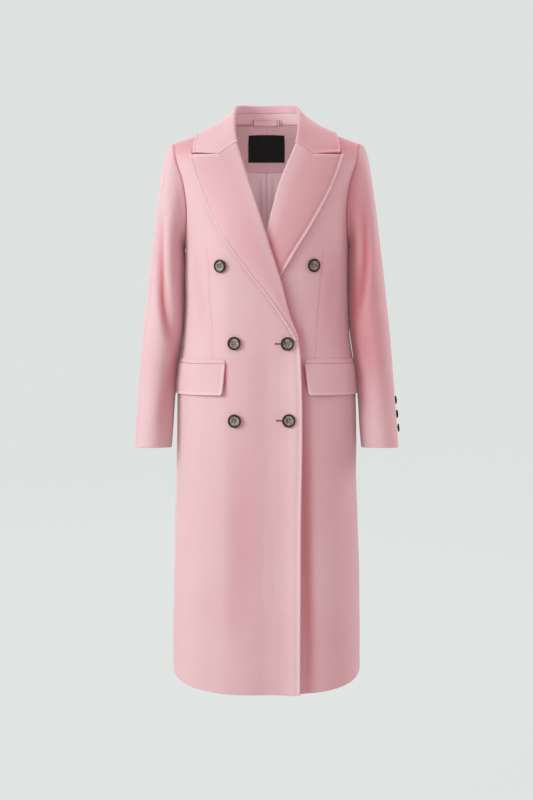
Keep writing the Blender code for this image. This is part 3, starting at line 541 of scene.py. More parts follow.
def makeNapGroup():
    # brushed nap: cloudy tone, short fibres and their bump, all in object space, then painted shade and
    # painted highlight from the deep attribute
    colour, value = "NodeSocketColor", "NodeSocketFloat"
    group, given, result = newGroup(
        "woolNap",
        # the fourth colour is painted shade, the fifth painted highlight
        (("Cloth", colour, (0.7, 0.3, 0.34, 1)), ("Shade", colour, (0.6, 0.2, 0.25, 1)),
         ("Bloom", colour, (0.85, 0.5, 0.52, 1)), ("Deep", colour, (0.5, 0.13, 0.17, 1)),
         ("PaintedHighlight", colour, (0.9, 0.7, 0.72, 1)), ("Fibre size", value, 900.0),
         ("Mottle", value, 0.35), ("Cloud", value, 0.5)),
        (("Color", colour), ("Height", value), ("Roughness", value)),
    )
    place = objectPlace(group)
    fibre = addNoise(group, stretchUp(group, place, 0.35), given.outputs["Fibre size"], 3.0, 0.6, 0.6)
    tuft = addNoise(group, place, 260.0, 4.0, 0.55)
    cloud = widen(group, addNoise(group, place, 9.0, 5.0, 0.55), 0.34, 0.66)
    mottle = calculate(group, "MULTIPLY_ADD", fibre, 0.5, calculate(group, "MULTIPLY", tuft, 0.5))
    mottle = widen(group, mottle, 0.36, 0.64)
    dark = calculate(group, "MULTIPLY", mottle, given.outputs["Mottle"])
    base = blendColours(group, dark, given.outputs["Cloth"], given.outputs["Shade"])
    light = calculate(group, "MULTIPLY", cloud, given.outputs["Cloud"])
    base = blendColours(group, light, base, given.outputs["Bloom"])
    # painted shade where deep is positive, painted highlight where it is negative
    depth = shadeDepth(group)
    base = blendColours(group, depth, base, given.outputs["Deep"])
    pale = calculate(group, "MULTIPLY", depth, -1.0)
    base = blendColours(group, pale, base, given.outputs["PaintedHighlight"])
    group.links.new(base, result.inputs["Color"])
    group.links.new(calculate(group, "MULTIPLY_ADD", fibre, 0.4, tuft), result.inputs["Height"])
    rough = calculate(group, "MULTIPLY_ADD", mottle, 0.12, 0.84)
    group.links.new(rough, result.inputs["Roughness"])
    return group


def makeWoolCloth(name, nap, values):
    material, tree, shader = newMaterial(name)
    cloth = addNode(tree, "ShaderNodeGroup")
    cloth.node_tree = nap
    for key in ("Cloth", "Shade", "Bloom", "Deep", "PaintedHighlight"):
        cloth.inputs[key].default_value = (*values[key], 1)
    for key in ("Fibre size", "Mottle", "Cloud"):
        cloth.inputs[key].default_value = values[key]
    finishMaterial(tree, shader, cloth.outputs["Color"], cloth.outputs["Roughness"], values["specular"],
                   cloth.outputs["Height"], values["bump"], 0.0006)
    setInputs(tree, shader, {
        "Sheen Weight": values["sheen"], "Sheen Roughness": values["sheenRoughness"],
        "Sheen Tint": (*values["sheenTint"], 1)})
    return material


wool = {
    "Cloth": (0.700, 0.455, 0.480), "Shade": (0.650, 0.385, 0.415), "Bloom": (0.740, 0.520, 0.540),
    # the painted shade colour, then the painted highlight colour
    "Deep": (0.560, 0.125, 0.160), "PaintedHighlight": (0.860, 0.680, 0.695),
    "Fibre size": 900.0, "Mottle": 0.35, "Cloud": 0.30, "bump": 0.30,
    "specular": 0.30, "sheen": 0.60, "sheenRoughness": 0.40, "sheenTint": (1.0, 0.94, 0.94),
}


def makeSatin():
    material, tree, shader = newMaterial("satinLining")
    place = objectPlace(tree)
    threads = addNoise(tree, stretchUp(tree, place, 0.06), 1400.0)
    cloud = calculate(tree, "MULTIPLY", addNoise(tree, place, 14.0, 3.0), 0.3)
    base = blendColours(tree, threads, (0.700, 0.480, 0.520, 1), (0.840, 0.620, 0.650, 1))
    base = blendColours(tree, cloud, base, (0.86, 0.70, 0.71, 1))
    # painted shade, near black, where the deep attribute is set
    base = blendColours(tree, shadeDepth(tree), base, (0.075, 0.018, 0.028, 1))
    rough = calculate(tree, "MULTIPLY_ADD", threads, 0.16, 0.30)
    finishMaterial(tree, shader, base, rough, 0.45, threads, 0.15, 0.0003)
    return material


def makeLabelCloth():
    material, tree, shader = newMaterial("wovenLabel")
    wave = addWave(tree, 620.0, 0.4, "Z")
    fleck = addNoise(tree, objectPlace(tree), 1500.0)
    weave = calculate(tree, "MULTIPLY_ADD", wave, 0.5, calculate(tree, "MULTIPLY", fleck, 0.5))
    base = blendColours(tree, weave, (0.003, 0.003, 0.004, 1), (0.010, 0.011, 0.012, 1))
    rough = calculate(tree, "MULTIPLY_ADD", weave, 0.2, 0.45)
    finishMaterial(tree, shader, base, rough, 0.12, weave, 0.3, 0.0002)
    return material


def makeHorn(name, dark, light, contrast):
    material, tree, shader = newMaterial(name)
    place = objectPlace(tree)
    swirl = widen(tree, addNoise(tree, place, 85.0, 5.0, 0.6, 1.4), 0.5 - contrast, 0.5 + contrast)
    streak = addNoise(tree, place, 420.0, 3.0)
    base = blendColours(tree, swirl, dark, light)
    base = blendColours(tree, calculate(tree, "MULTIPLY", streak, 0.35), base, (0.035, 0.028, 0.022, 1))
    rough = calculate(tree, "MULTIPLY_ADD", swirl, 0.15, 0.30)
    finishMaterial(tree, shader, base, rough, 0.3, streak, 0.12, 0.0003)
    return material


def makeThread(name, dark, light):
    material, tree, shader = newMaterial(name)
    twist = addWave(tree, 900.0, 1.0, "DIAGONAL")
    rough = calculate(tree, "MULTIPLY_ADD", twist, 0.1, 0.55)
    finishMaterial(tree, shader, blendColours(tree, twist, dark, light), rough, 0.5, twist, 0.4, 0.0002)
    return material


makeStudio()
woolCoating = makeWoolCloth("woolCoating", makeNapGroup(), wool)
satinLining = makeSatin()
wovenLabel = makeLabelCloth()
hornRim = makeHorn("hornRim", (0.009, 0.006, 0.005, 1), (0.036, 0.025, 0.020, 1), 0.16)
hornCentre = makeHorn("hornCentre", (0.110, 0.085, 0.062, 1), (0.460, 0.410, 0.330, 1), 0.12)
buttonThread = makeThread("buttonThread", (0.30, 0.20, 0.17, 1), (0.50, 0.36, 0.32, 1))
holeThread = makeThread("holeThread", (0.24, 0.06, 0.08, 1), (0.40, 0.13, 0.16, 1))
slitShade = makeThread("slitShade", (0.10, 0.03, 0.04, 1), (0.16, 0.05, 0.06, 1))
print("studio and materials are ready")


# fronts and backs

armhole = {"front": 0.056, "back": 0.066, "power": 2.3, "start": 0.70}


def surfaceX(y, height, front):
    # how far out the front or back lies at this depth
    ahead = -1 if front else 1
    slope = body["tipX"] + (body["tipHeight"] - height) / body["shoulderSlope"]

    def isFurther(x):
        return bodySkin(x, height, front)[..., 1] * ahead > y * ahead

    widest = np.minimum(bodySection(height)[..., 0], slope)
    return halve(np.full(np.shape(y), 0.05), widest, 40, isFurther)[1]


def armholePlace(turn):
    # the armhole's seam on the +X side: 0 at the shoulder tip, then forwards and down
    across, up = np.sin(turn), np.cos(turn)
    half = (body["tipHeight"] - body["armpitHeight"]) / 2
    bend = 2 / armhole["power"]
    depth = np.where(across > 0, armhole["front"], armhole["back"])
    y = -np.sign(across) * np.abs(across) ** bend * depth
    height = body["armpitHeight"] + half + np.sign(up) * np.abs(up) ** bend * half
    x = np.where(y < 0, surfaceX(y, height, True), surfaceX(y, height, False))
    return stack(x, y, height)


def backNeckHeight(x):
    share = np.clip(np.abs(x) / body["neckX"], 0, 1)
    inside = napeHeight - (napeHeight - neckHeight) * share**2
    return np.where(np.abs(x) < body["neckX"], inside, shoulderHeight(x))


def panelPoint(up, across, front, innerEdge, innerTop):
    # a front or back: up from hem to shoulder, across from the side seam and armhole to the inner edge
    armpit, start = body["armpitHeight"], armhole["start"]
    topHeight = shoulderHeight if front else backNeckHeight
    lowHeight = armpit * np.minimum(up, start) / start
    lowAngle = angleAt(innerEdge(lowHeight), lowHeight, front)
    lower = surface(mix(math.pi / 2, lowAngle, across), lowHeight, front)
    part = np.clip((up - start) / (1 - start), 0, 1)
    seam = armholePlace(math.pi * (1 - part) * (1 if front else -1))
    innerHeight = mix(armpit, innerTop, part)
    innerX = innerEdge(innerHeight)
    seamShare = (seam[..., 2] - armpit) / (topHeight(seam[..., 0]) - armpit)
    innerShare = (innerHeight - armpit) / (topHeight(innerX) - armpit)
    angle = mix(angleAt(seam[..., 0], seam[..., 2], front), angleAt(innerX, innerHeight, front), across)
    share = mix(seamShare, innerShare, across)
    height = mix(seam[..., 2], innerHeight, across)
    for _ in range(8):
        x = surface(angle, height, front)[..., 0]
        height = armpit + (topHeight(x) - armpit) * share
    upper = surface(angle, height, front)
    return pick(up <= start, lower, upper)


fronts = {
    "thickness": 0.0025, "offset": -0.00125, "spacing": 0.0023, "cut": (0.405, 1.305, 0.388, "hung"),
    "edges": ("round", "seam", "seam", "lip"), "lip": 0.0009,
    # height, how far the front reaches past the centre
    "topEdge": (
        (0.000, 0.0705), (0.350, 0.0710), (0.680, 0.0712), (0.726, 0.0685), (0.752, 0.0628),
        (0.790, 0.0470), (0.870, 0.0250), (0.958, -0.0035), (1.027, -0.0257), (1.096, -0.0476),
        (1.150, -0.0645), (1.199, -0.0800),
    ),
    "underEdge": (
        (0.000, 0.0700), (0.350, 0.0700), (0.700, 0.0700), (0.760, 0.0630), (0.800, 0.0500),
        (0.966, -0.0004), (1.017, -0.0154), (1.052, -0.0257), (1.087, -0.0380), (1.150, -0.0645),
        (1.199, -0.0800),
    ),
    # darts: height and x from the pocket up to the bust, for each side
    "darts": {
        -1: ((0.7040, 0.1127), (0.7865, 0.1141), (0.828, 0.1177), (0.9299, 0.1244), (0.9417, 0.1277)),
        1: ((0.7040, 0.1018), (0.766, 0.1048), (0.8489, 0.1112), (0.9236, 0.1171), (0.9376, 0.1192)),
    },
    "dartDepth": 0.0010, "dartWidth": 0.0019, "dartEnds": (0.68, 0.70, 0.925),
    # how much painted shade, or how much painted highlight
    "dartShade": 0.4, "lapShade": 0.55, "shoulderShade": 0.38, "besideShade": 0.30, "mouthShade": 0.8,
    "edgePale": 0.35, "creaseShadeDepth": 0.0095,
    "flare": 0.0068, "flareReach": (0.026, 0.070), "hollow": 0.0036,
    # turns and heights of each soft crease, then width and lift
    "creases": {
        -1: (((-17, -17, -16), (0.10, 0.30, 0.56), 0.028, -0.0020),
             ((-40, -42, -41), (0.08, 0.30, 0.50), 0.030, 0.0016),
             ((-48, -40, -30), (1.07, 1.00, 0.93), 0.020, -0.0016),
             ((-60, -55, -52), (0.93, 0.86, 0.76), 0.016, -0.0014)),
        1: (((26, 27, 26), (-0.10, 0.30, 0.78), 0.014, -0.0058),
            ((44, 44, 43), (0.06, 0.26, 0.50), 0.028, 0.0014),
            ((20, 18, 22), (0.86, 0.79, 0.70), 0.018, -0.0035),
            ((56, 52, 50), (0.93, 0.86, 0.76), 0.016, -0.0014)),
    },
}
frontReach = {-1: makeCurve(fronts["topEdge"]), 1: makeCurve(fronts["underEdge"])}
bodyPerDegree = 0.0030  # metres of cloth to a degree round the body


def reachOf(side, height):
    return frontReach[side](height)[..., 0]


def frontPanel(side):
    def point(up, across):
        found = panelPoint(up, across, True, lambda h: -reachOf(side, h), neckHeight)
        found[..., 0] *= side
        found[..., 1] -= lapLift(found[..., 0], found[..., 2], side) + sewnGap / 2
        return found

    return point


def backPanel(side):
    def point(up, across):
        found = panelPoint(up, across, False, lambda h: h * 0, napeHeight)
        found[..., 0] = side * (found[..., 0] + sewnGap / 2)
        found[..., 1] += sewnGap / 2
        return found

    return point


def dartGroove(side, points):
    line = makeCurve(fronts["darts"][side])
    height = points[..., 2]
    gap = np.abs(np.abs(points[..., 0]) - line(height)[..., 0])
    gap = np.where(points[..., 0] * side > 0, gap, 1.0)
    ends = within(height, *fronts["dartEnds"], fronts["darts"][side][-1][0])
    groove = bell(gap, fronts["dartWidth"]) - 0.35 * bell(gap, 0.007)
    return -fronts["dartDepth"] * groove * ends


def lapShade(side, points):
    # the under front lies in shade beside the top front's edge
    height = points[..., 2]
    gap = points[..., 0] - reachOf(-1, height)
    return fronts["lapShade"] * bell(gap - 0.003, 0.011) * within(height, 0.71, 0.78, 0.94, 1.0) * (side > 0)


def shoulderShade(points):
    x, height = np.abs(points[..., 0]), points[..., 2]
    return fronts["shoulderShade"] * ease(1.100, 1.150, height) * ease(0.120, 0.150, x)


def panelLines(spacing):
    # shares up and across a front or back
    return linesAlong(1.21, 0.0050), linesAlong(0.27, spacing)


def frontLift(side, points):
    # how far the pressed front stands out from its plain form, and how deep it lies in shade
    x, height = points[..., 0], points[..., 2]
    creases = creaseLift(bodyTurn(points), height, fronts["creases"][side], bodyPerDegree)
    dart = dartGroove(side, points)
    lift = creases + softWave(points) + dart
    deep = np.clip(-creases / fronts["creaseShadeDepth"], 0, 1)
    deep = deep + np.clip(-dart / fronts["dartDepth"], 0, 1) * fronts["dartShade"]
    below = ease(0.80, 0.66, height)
    if side < 0:  # the edge of the top front springs forward
        lift = lift + fronts["flare"] * ease(*fronts["flareReach"], x) * below
        lift = lift - fronts["hollow"] * bell(x - 0.004, 0.030) * below
        # painted highlight along the top front's edge
        deep = deep - fronts["edgePale"] * bell(x - 0.060, 0.014) * below
    else:  # what the top front covers stays where it is
        covered = ease(0.0745, 0.066, x) * ease(0.99, 0.95, height)
        lift, deep = lift * (1 - covered), deep * (1 - covered)
    # shade in the pocket's mouth, in the notch and beside the sleeves
    mouthX = np.abs(x) - mix(*pockets["frontX"][side], np.clip((0.697 - height) / 0.064, 0, 1))
    mouth = within(height, 0.630, 0.660, 0.690, 0.700) * bell(mouthX + 0.001, 0.0045) * (x * side > 0)
    notch = within(np.abs(x), 0.088, 0.094, 0.1545, 0.1585) * within(height, 1.112, 1.118, 1.138, 1.145)
    beside = ease(70, 84, np.abs(bodyTurn(points))) * within(height, 0.60, 0.68, 0.90, 0.96)
    deep = deep + fronts["mouthShade"] * mouth + notch + fronts["besideShade"] * beside
    return lift, np.clip(deep + shoulderShade(points) + lapShade(side, points), -1, 1)


def dressedSkin(x, height, side):
    # a front as it lies, with its creases
    lift = frontLift(side, frontSkin(x, height, side))[0]
    return offFront(x, height, side, lift[..., None])


def makeFront(side):
    piece = dict(fronts, name="front_" + words[side], cut=fronts["cut"] + ("back_" + words[side],))

    def detail(points, up, across, distances):
        lift, deep = frontLift(side, points)
        return lift * ease(0.0, 0.02, distances[2]) * ease(0.0, 0.03, distances[1]), deep

    makeWall(piece, frontPanel(side), *panelLines(fronts["spacing"]), side < 0, detail)


backs = {
    "thickness": 0.0025, "offset": -0.00125, "spacing": 0.0034, "cut": (0.308, 1.249, 0.313, "hung"),
    "edges": ("round", "seam", "seam", "seam"), "creaseShadeDepth": 0.0120, "rightShift": 1.02,
    "creases": (
        ((178, 170, 166), (0.66, 0.50, 0.18), 0.030, -0.0022),
        ((150, 152, 156), (0.60, 0.35, 0.10), 0.032, 0.0020),
        ((128, 126, 128), (0.62, 0.35, 0.08), 0.030, -0.0020),
        ((112, 122, 136), (0.96, 0.90, 0.84), 0.014, -0.0022),
        ((108, 124, 146), (0.90, 0.83, 0.79), 0.012, 0.0018),
        ((126, 140, 158), (1.06, 1.00, 0.93), 0.018, -0.0016),
    ),
}


def makeBack(side):
    piece = dict(backs, name="back_" + words[side], cut=backs["cut"] + ("front_" + words[side],))

    def detail(points, up, across, distances):
        turn = np.abs(bodyTurn(points)) * (1 if side > 0 else backs["rightShift"])
        lift = creaseLift(turn, points[..., 2], backs["creases"], bodyPerDegree)
        fade = ease(0.0, 0.02, distances[2]) * ease(0.0, 0.03, distances[1])
        whole = (lift + softWave(points)) * fade * ease(0.0, 0.02, distances[3])
        return whole, np.clip(-lift / backs["creaseShadeDepth"], 0, 0.4) + shoulderShade(points)

    makeWall(piece, backPanel(side), *panelLines(backs["spacing"]), side > 0, detail)


# lapels

lapels = {
    "thickness": 0.0026, "gorgeHeight": 1.150, "break": {-1: 0.745, 1: 0.790},
    "rollRadius": 0.0032, "flatRadius": 0.0016, "edgeLift": 0.0044,
    "edges": ("round", "round", "round", "lip"), "lip": 0.0014, "pale": 0.35, "belly": 0.0022,
    # sewnShade and leafShade are painted shade, pale and freePale painted highlight
    "sewnDip": 0.0004, "sewnShade": 0.2, "freeRise": 0.0008, "freePale": 0.40,
    "leafShade": {-1: 0.15, 1: 0.25},
    "cuts": {-1: (0.118, 0.460, 0.0346), 1: (0.118, 0.412, 0.0315)},
    "notch": (0.0983, 1.1276), "peak": (0.1591, 1.1268), "notchShare": 0.36,
    "collarTip": (0.1530, 1.1316),
    # height, how far out the lapel's edge lies
    "topOuter": (
        (0.745, -0.0580), (0.780, -0.0376), (0.836, -0.0010), (0.883, 0.0362), (0.916, 0.0606),
        (0.943, 0.0796), (0.971, 0.0958), (1.040, 0.1304), (1.085, 0.1468), (1.126, 0.1591),
    ),
    "underOuter": (
        (0.790, -0.0440), (0.836, -0.0004), (0.871, 0.0249), (0.899, 0.0421), (0.934, 0.0626),
        (0.970, 0.0853), (1.008, 0.1071), (1.066, 0.1365), (1.126, 0.1585),
    ),
}
lapelOut = {-1: makeCurve(lapels["topOuter"]), 1: makeCurve(lapels["underOuter"])}
clothHalf = fronts["thickness"] / 2


def rollFrame(side, height):
    # the front's edge, where the lapel rolls: place, direction in over the front, direction out
    def onLine(level):
        return frontSkin(-side * reachOf(side, level), level, side)

    normal = frontNormal(-side * reachOf(side, height), height, side)
    line = onLine(height + 0.0004) - onLine(height - 0.0004)
    return onLine(height), unit(np.cross(normal, line)) * side, normal


def gorgeLine(part, start, notch, end):
    share = lapels["notchShare"]
    first = mix(np.array(start), np.array(notch), np.clip(part / share, 0, 1)[..., None])
    last = mix(np.array(notch), np.array(end), np.clip((part - share) / (1 - share), 0, 1)[..., None])
    return pick(part < share, first, last)


def lapelPoint(side):
    low, high = lapels["break"][side], lapels["gorgeHeight"] - seamGap
    gorgeStart = (-float(reachOf(-1, lapels["gorgeHeight"])), high)
    notch = (lapels["notch"][0], lapels["notch"][1] - seamGap)

    def rollPlace(up):
        height = mix(low, high, up)
        return stack(-reachOf(side, height), height)

    def outerPlace(up):
        height = mix(low, lapels["peak"][1], up)
        return stack(lapelOut[side](height)[..., 0], height)

    def point(up, across):
        roll = rollPlace(up)
        bend = ease(1.00, 1.08, roll[..., 1]) if side > 0 else ease(0.74, 0.84, roll[..., 1])
        radius = mix(lapels["flatRadius"], lapels["rollRadius"], bend)
        part = np.clip(across - 1.0, 0, 1)
        place = mix(roll, outerPlace(up), part[..., None])
        straight = mix(rollPlace(1.0), outerPlace(1.0), part[..., None])
        gorge = gorgeLine(part, gorgeStart, notch, lapels["peak"])
        place = place + (gorge - straight) * ease(0.72, 1.0, up)[..., None]
        lift = mix(2 * radius - clothHalf, lapels["edgeLift"], part**0.8)[..., None]
        leaf = offFront(side * place[..., 0], place[..., 1], side, lift)
        edge, inward, normal = rollFrame(side, roll[..., 1])
        radius = radius[..., None]
        centre = edge + inward * seamGap + normal * (radius - clothHalf)
        turn = (math.pi * np.clip(across, 0, 1))[..., None]
        fold = centre + radius * (inward * np.sin(turn) - normal * np.cos(turn))
        return pick(across > 1, leaf, fold)

    return point


def sewnEnd(nearGorge, part):
    # how much an edge is rounded: hardly any where lapel and collar are sewn together
    return 1 - 0.85 * nearGorge * ease(0.03, -0.03, part - lapels["notchShare"])


def makeLapel(side):
    piece = dict(lapels, name="lapel_" + words[side],
                 cut=lapels["cuts"][side] + ("folded", "front_" + words[side]),
                 free=lambda up, across: sewnEnd(ease(0.90, 0.95, up), across - 1))

    def detail(points, up, across, distances):
        belly = np.sin(math.pi * np.clip(up, 0, 1)) * np.sin(math.pi * np.clip(across - 1, 0, 1))
        sewn = bell(distances[1], 0.0018) * (across < 1 + lapels["notchShare"])
        free = bell(distances[1] - 0.0020, 0.0032) * (across > 1 + lapels["notchShare"])
        lift = softWave(points, 0.0002) + lapels["belly"] * belly
        lift = lift - lapels["sewnDip"] * sewn + lapels["freeRise"] * free
        # painted shade over the leaf, more on the wearer's left, and along the sewn end; painted highlight
        # along the free edge
        deep = lapels["leafShade"][side] * ease(1.0, 1.3, across)
        deep = deep + lapels["sewnShade"] * sewn - lapels["freePale"] * free
        return lift, deep + lapShade(side, points)

    up = linesAlong(0.42, 0.0042)
    across = np.concatenate((np.linspace(0, 1, 9), 1 + linesAlong(0.20, 0.0036, (False, True))[1:]))
    makeWall(piece, lapelPoint(side), up, across, side > 0, detail)


# collar and stand

collar = {
    "thickness": 0.0026, "neckPoint": 0.46, "foldRadius": 0.0027, "foldEndRise": 0.0048,
    "standEnd": 0.80, "leafClearance": 0.0050, "edgeClearance": 0.0030,
    "standShare": 0.60, "lip": 0.0009, "leafDrop": 0.09, "leafReach": 0.32,
    # station (0 centre back, 1 at the gorge), then x, y and height
    "fold": (
        (0.00, 0.0000, 0.0830, 1.2430), (0.12, 0.0270, 0.0795, 1.2430),
        (0.24, 0.0485, 0.0660, 1.2425), (0.34, 0.0605, 0.0470, 1.2390),
        (0.46, 0.0650, 0.0220, 1.2285), (0.60, 0.0658, -0.0130, 1.2140),
        (0.70, 0.0655, -0.0370, 1.2020), (0.80, 0.0650, -0.0590, 1.1860),
        (0.90, 0.0635, -0.0755, 1.1685), (1.00, 0.0600, -0.0885, 1.1512),
    ),
    "edge": (
        (0.00, 0.0000, 0.1080, 1.1660), (0.12, 0.0480, 0.1050, 1.1660),
        (0.24, 0.0900, 0.0910, 1.1690), (0.34, 0.1150, 0.0700, 1.1730),
        (0.46, 0.1340, 0.0400, 1.1780), (0.60, 0.1445, 0.0080, 1.1800),
        (0.70, 0.1480, -0.0150, 1.1760), (0.80, 0.1500, -0.0380, 1.1660),
        (0.90, 0.1515, -0.0580, 1.1515), (1.00, 0.1530, -0.0800, 1.1326),
    ),
}


def wholeLine(rows):
    mirror = [(-station, -x, y, height) for station, x, y, height in reversed(rows[1:])]
    return makeCurve(mirror + list(rows))


foldLine, collarEdge = wholeLine(collar["fold"]), wholeLine(collar["edge"])


def neckSeam(station):
    share = np.clip(station / collar["neckPoint"], 0, 1)
    x = body["neckX"] * np.sin(math.pi / 2 * share)
    height = backNeckHeight(x)
    behind = bodySkin(x, height, False)
    part = np.clip((station - collar["neckPoint"]) / (1 - collar["neckPoint"]), 0, 1)
    height = neckHeight - (neckHeight - lapels["gorgeHeight"]) * part**2
    x = -reachOf(1, height)
    ahead = bodySkin(x, height, True)
    return pick(station <= collar["neckPoint"], behind, ahead)


def clearOfBody(points, clearance):
    # moves points out along rays from the body's middle until they clear its surface
    middle = points * (0.6, 0, 1) + (0, 0.015, -0.06)
    ray = points - middle
    far = np.linalg.norm(ray, axis=-1, keepdims=True)
    ray = ray / far

    def isInside(reach):
        x, y, height = np.moveaxis(middle + ray * reach, -1, 0)
        held = (height < shoulderHeight(x)) & (np.abs(x) < bodySection(height)[..., 0])
        held &= bodySkin(x, height, True)[..., 1] < y
        held &= bodySkin(x, height, False)[..., 1] > y
        return held[..., None]

    low = halve(np.zeros(far.shape), np.full(far.shape, 0.4), 26, isInside)[0]
    return middle + ray * np.maximum(far, low + clearance)


def collarFrame(station):
    # neck seam, fold line, direction up the stand and direction out
    seam = neckSeam(station)
    edge, inward, normal = rollFrame(1, np.array(lapels["gorgeHeight"]))
    end = edge + inward * collar["foldEndRise"] - normal * clothHalf
    nearEnd = ease(0.72, 1.0, station)[..., None]
    fold = foldLine(station) + (end - foldLine(1.0)) * nearEnd
    along = unit(foldLine(station + 0.002) - foldLine(station - 0.002))
    up = fold - seam
    up = unit(up - along * dot(up, along))
    outward = unit(np.cross(up, along))
    up, outward = unit(mix(up, inward, nearEnd)), mix(outward, normal, nearEnd)
    outward = unit(outward - up * dot(outward, up))
    return seam - outward * clothHalf, fold, up, outward


def standShare(station):
    return mix(collar["standShare"], 0.10, ease(0.45, 0.92, station))[..., None]


def leafCurve(station, fold, up, outward, radius, part):
    # from the far side of the fold to the leaf's outer edge
    start = fold - up * radius + outward * 2 * radius
    edge = clearOfBody(collarEdge(station), collar["edgeClearance"])
    length = np.linalg.norm(edge - start, axis=-1, keepdims=True)
    drop = up * collar["leafDrop"] * length
    return bezier(start, start - drop, mix(edge, start, collar["leafReach"]), edge, part)


def collarHalf(station, across):
    seam, fold, up, outward = collarFrame(station)
    radius = mix(collar["foldRadius"], lapels["rollRadius"], ease(0.6, 1.0, station))[..., None]
    low = mix(seam, fold, standShare(station)) + up * sewnGap
    top = fold - up * radius
    inside = mix(low, top, np.clip(across, 0, 1)[..., None])
    turn = (math.pi * np.clip(across - 1, 0, 1))[..., None]
    over = top + outward * radius + radius * (up * np.sin(turn) - outward * np.cos(turn))
    part = np.clip(across - 2, 0, 1)[..., None]
    place = leafCurve(station, fold, up, outward, radius, part)
    gorgeStart = (-float(reachOf(-1, lapels["gorgeHeight"])), lapels["gorgeHeight"])
    gorge = gorgeLine(part[..., 0], gorgeStart, lapels["notch"], lapels["collarTip"])
    lift = mix(2 * lapels["rollRadius"] - clothHalf, lapels["edgeLift"], part**0.8)
    onFront = offFront(gorge[..., 0], gorge[..., 1], 1, lift)
    end = leafCurve(1.0, *collarFrame(np.array(1.0))[1:], lapels["rollRadius"], part)
    place = place + (onFront - end) * ease(0.70, 1.0, station)[..., None]
    leaf = clearOfBody(place, mix(collar["leafClearance"], collar["edgeClearance"], part))
    found = pick(across <= 1, inside, over)
    return pick(across > 2, leaf, found)


def standHalf(station, across):
    seam, fold, up, _ = collarFrame(station)
    high = mix(seam, fold, standShare(station))
    return mix(seam + up * seamGap, high, across[..., None])


def mirrored(function):
    def point(station, across):
        found = function(np.abs(station), across)
        found[..., 0] *= np.where(station < 0, -1, 1)
        return found

    return point


def makeCollar():
    leaf = 2 + linesAlong(0.10, 0.0032, (False, True))[1:]
    across = np.concatenate((np.linspace(0, 1, 5), np.linspace(1, 2, 11)[1:], leaf))
    piece = dict(collar, name="collar", edges=("lip", "lip", "faint", "lip"), pale=0.10,
                 cut=(0.114, 0.583, 0.0567, "folded", "collar_stand"),
                 free=lambda station, across: sewnEnd(ease(0.94, 0.97, np.abs(station)), across - 2))

    def detail(points, station, across, distances):
        # painted shade over the collar, darker towards the wearer's left
        return softWave(points, 0.0002), np.clip(0.15 + points[..., 0] * 1.4, 0, 0.30)

    stations = (linesAlong(0.50, 0.0042) - 0.5) * 2
    makeWall(piece, mirrored(collarHalf), stations, across, False, detail)
    piece = dict(collar, name="collar_stand", edges=("round", "round", "seam", "faint"),
                 cut=(0.026, 0.386, 0.0068, "hung", "collar"))
    stations = np.linspace(-collar["standEnd"], collar["standEnd"], 90)
    makeWall(piece, mirrored(standHalf), stations, linesAlong(0.025, 0.003))


# sleeves

sleeves = {
    "thickness": 0.0025, "cuffTilt": 0.13, "seamPart": 0.40, "ringHeight": 0.900, "cuffHeight": 0.5085,
    "offset": -0.00125, "seamDepth": 0.0009, "seamWidth": 0.0060, "perDegree": 0.00095,
    "frontSeamCuff": math.radians(118), "backSeamCuff": {1: math.radians(-6), -1: math.radians(-34)},
    # height, outer x, inner x, centre y, half depth
    "sections": (
        (0.5085, 0.2850, 0.2048, -0.060, 0.0510), (0.5510, 0.2818, 0.2010, -0.054, 0.0530),
        (0.6090, 0.2772, 0.1975, -0.045, 0.0560), (0.6680, 0.2730, 0.1925, -0.035, 0.0600),
        (0.7200, 0.2690, 0.1842, -0.027, 0.0640), (0.7800, 0.2640, 0.1774, -0.018, 0.0690),
        (0.8400, 0.2572, 0.1752, -0.010, 0.0730), (0.9000, 0.2500, 0.1750, -0.004, 0.0750),
    ),
    "cuts": {
        "upper_left": (0.366, 0.660, 0.1071), "under_left": (0.221, 0.579, 0.0918),
        "upper_right": (0.366, 0.660, 0.1165), "under_right": (0.210, 0.560, 0.0822),
    },
    "heldBy": {"upper": "front_", "under": "sleeve_upper_"},
    # at the cap's top, its sides and the underarm: how it leaves the seam and enters the sleeve
    "leave": (-0.15, -0.10, -0.60), "firstPull": (0.0195, 0.024, 0.006), "lastPull": (0.160, 0.070, 0.012),
    "creaseShadeDepth": 0.0160, "touchShade": 0.30, "frontShade": 0.42, "armpitFill": 0.0020,
    # turn: 0 outside, 90 in front, 180 at the body, -90 behind
    "creases": {
        -1: (((56, 72, 130), (1.00, 0.83, 0.735), 0.0140, -0.0118),
             ((84, 100, 134), (1.05, 0.90, 0.775), 0.0150, 0.0042),
             ((150, 138, 118), (0.74, 0.66, 0.54), 0.0200, -0.0040),
             ((34, 40, 60), (0.90, 0.76, 0.62), 0.0200, 0.0020),
             ((-60, -95, -130), (0.86, 0.80, 0.78), 0.0110, -0.0045),
             ((-50, -85, -120), (0.77, 0.735, 0.73), 0.0100, -0.0035),
             ((-70, -80, -76), (1.04, 0.96, 0.88), 0.0160, -0.0030)),
        1: (((74, 92, 134), (1.03, 0.89, 0.790), 0.0150, -0.0068),
            ((56, 70, 92), (1.02, 0.92, 0.83), 0.0140, 0.0022),
            ((96, 108, 120), (1.04, 0.95, 0.86), 0.0130, 0.0018),
            ((118, 112, 100), (0.80, 0.72, 0.64), 0.0180, -0.0018),
            ((-55, -90, -128), (0.87, 0.81, 0.79), 0.0110, -0.0045),
            ((-48, -80, -118), (0.78, 0.745, 0.74), 0.0100, -0.0035),
            ((-66, -78, -74), (1.03, 0.95, 0.87), 0.0160, -0.0030)),
    },
}
sleeveSection = makeCurve(sleeves["sections"])


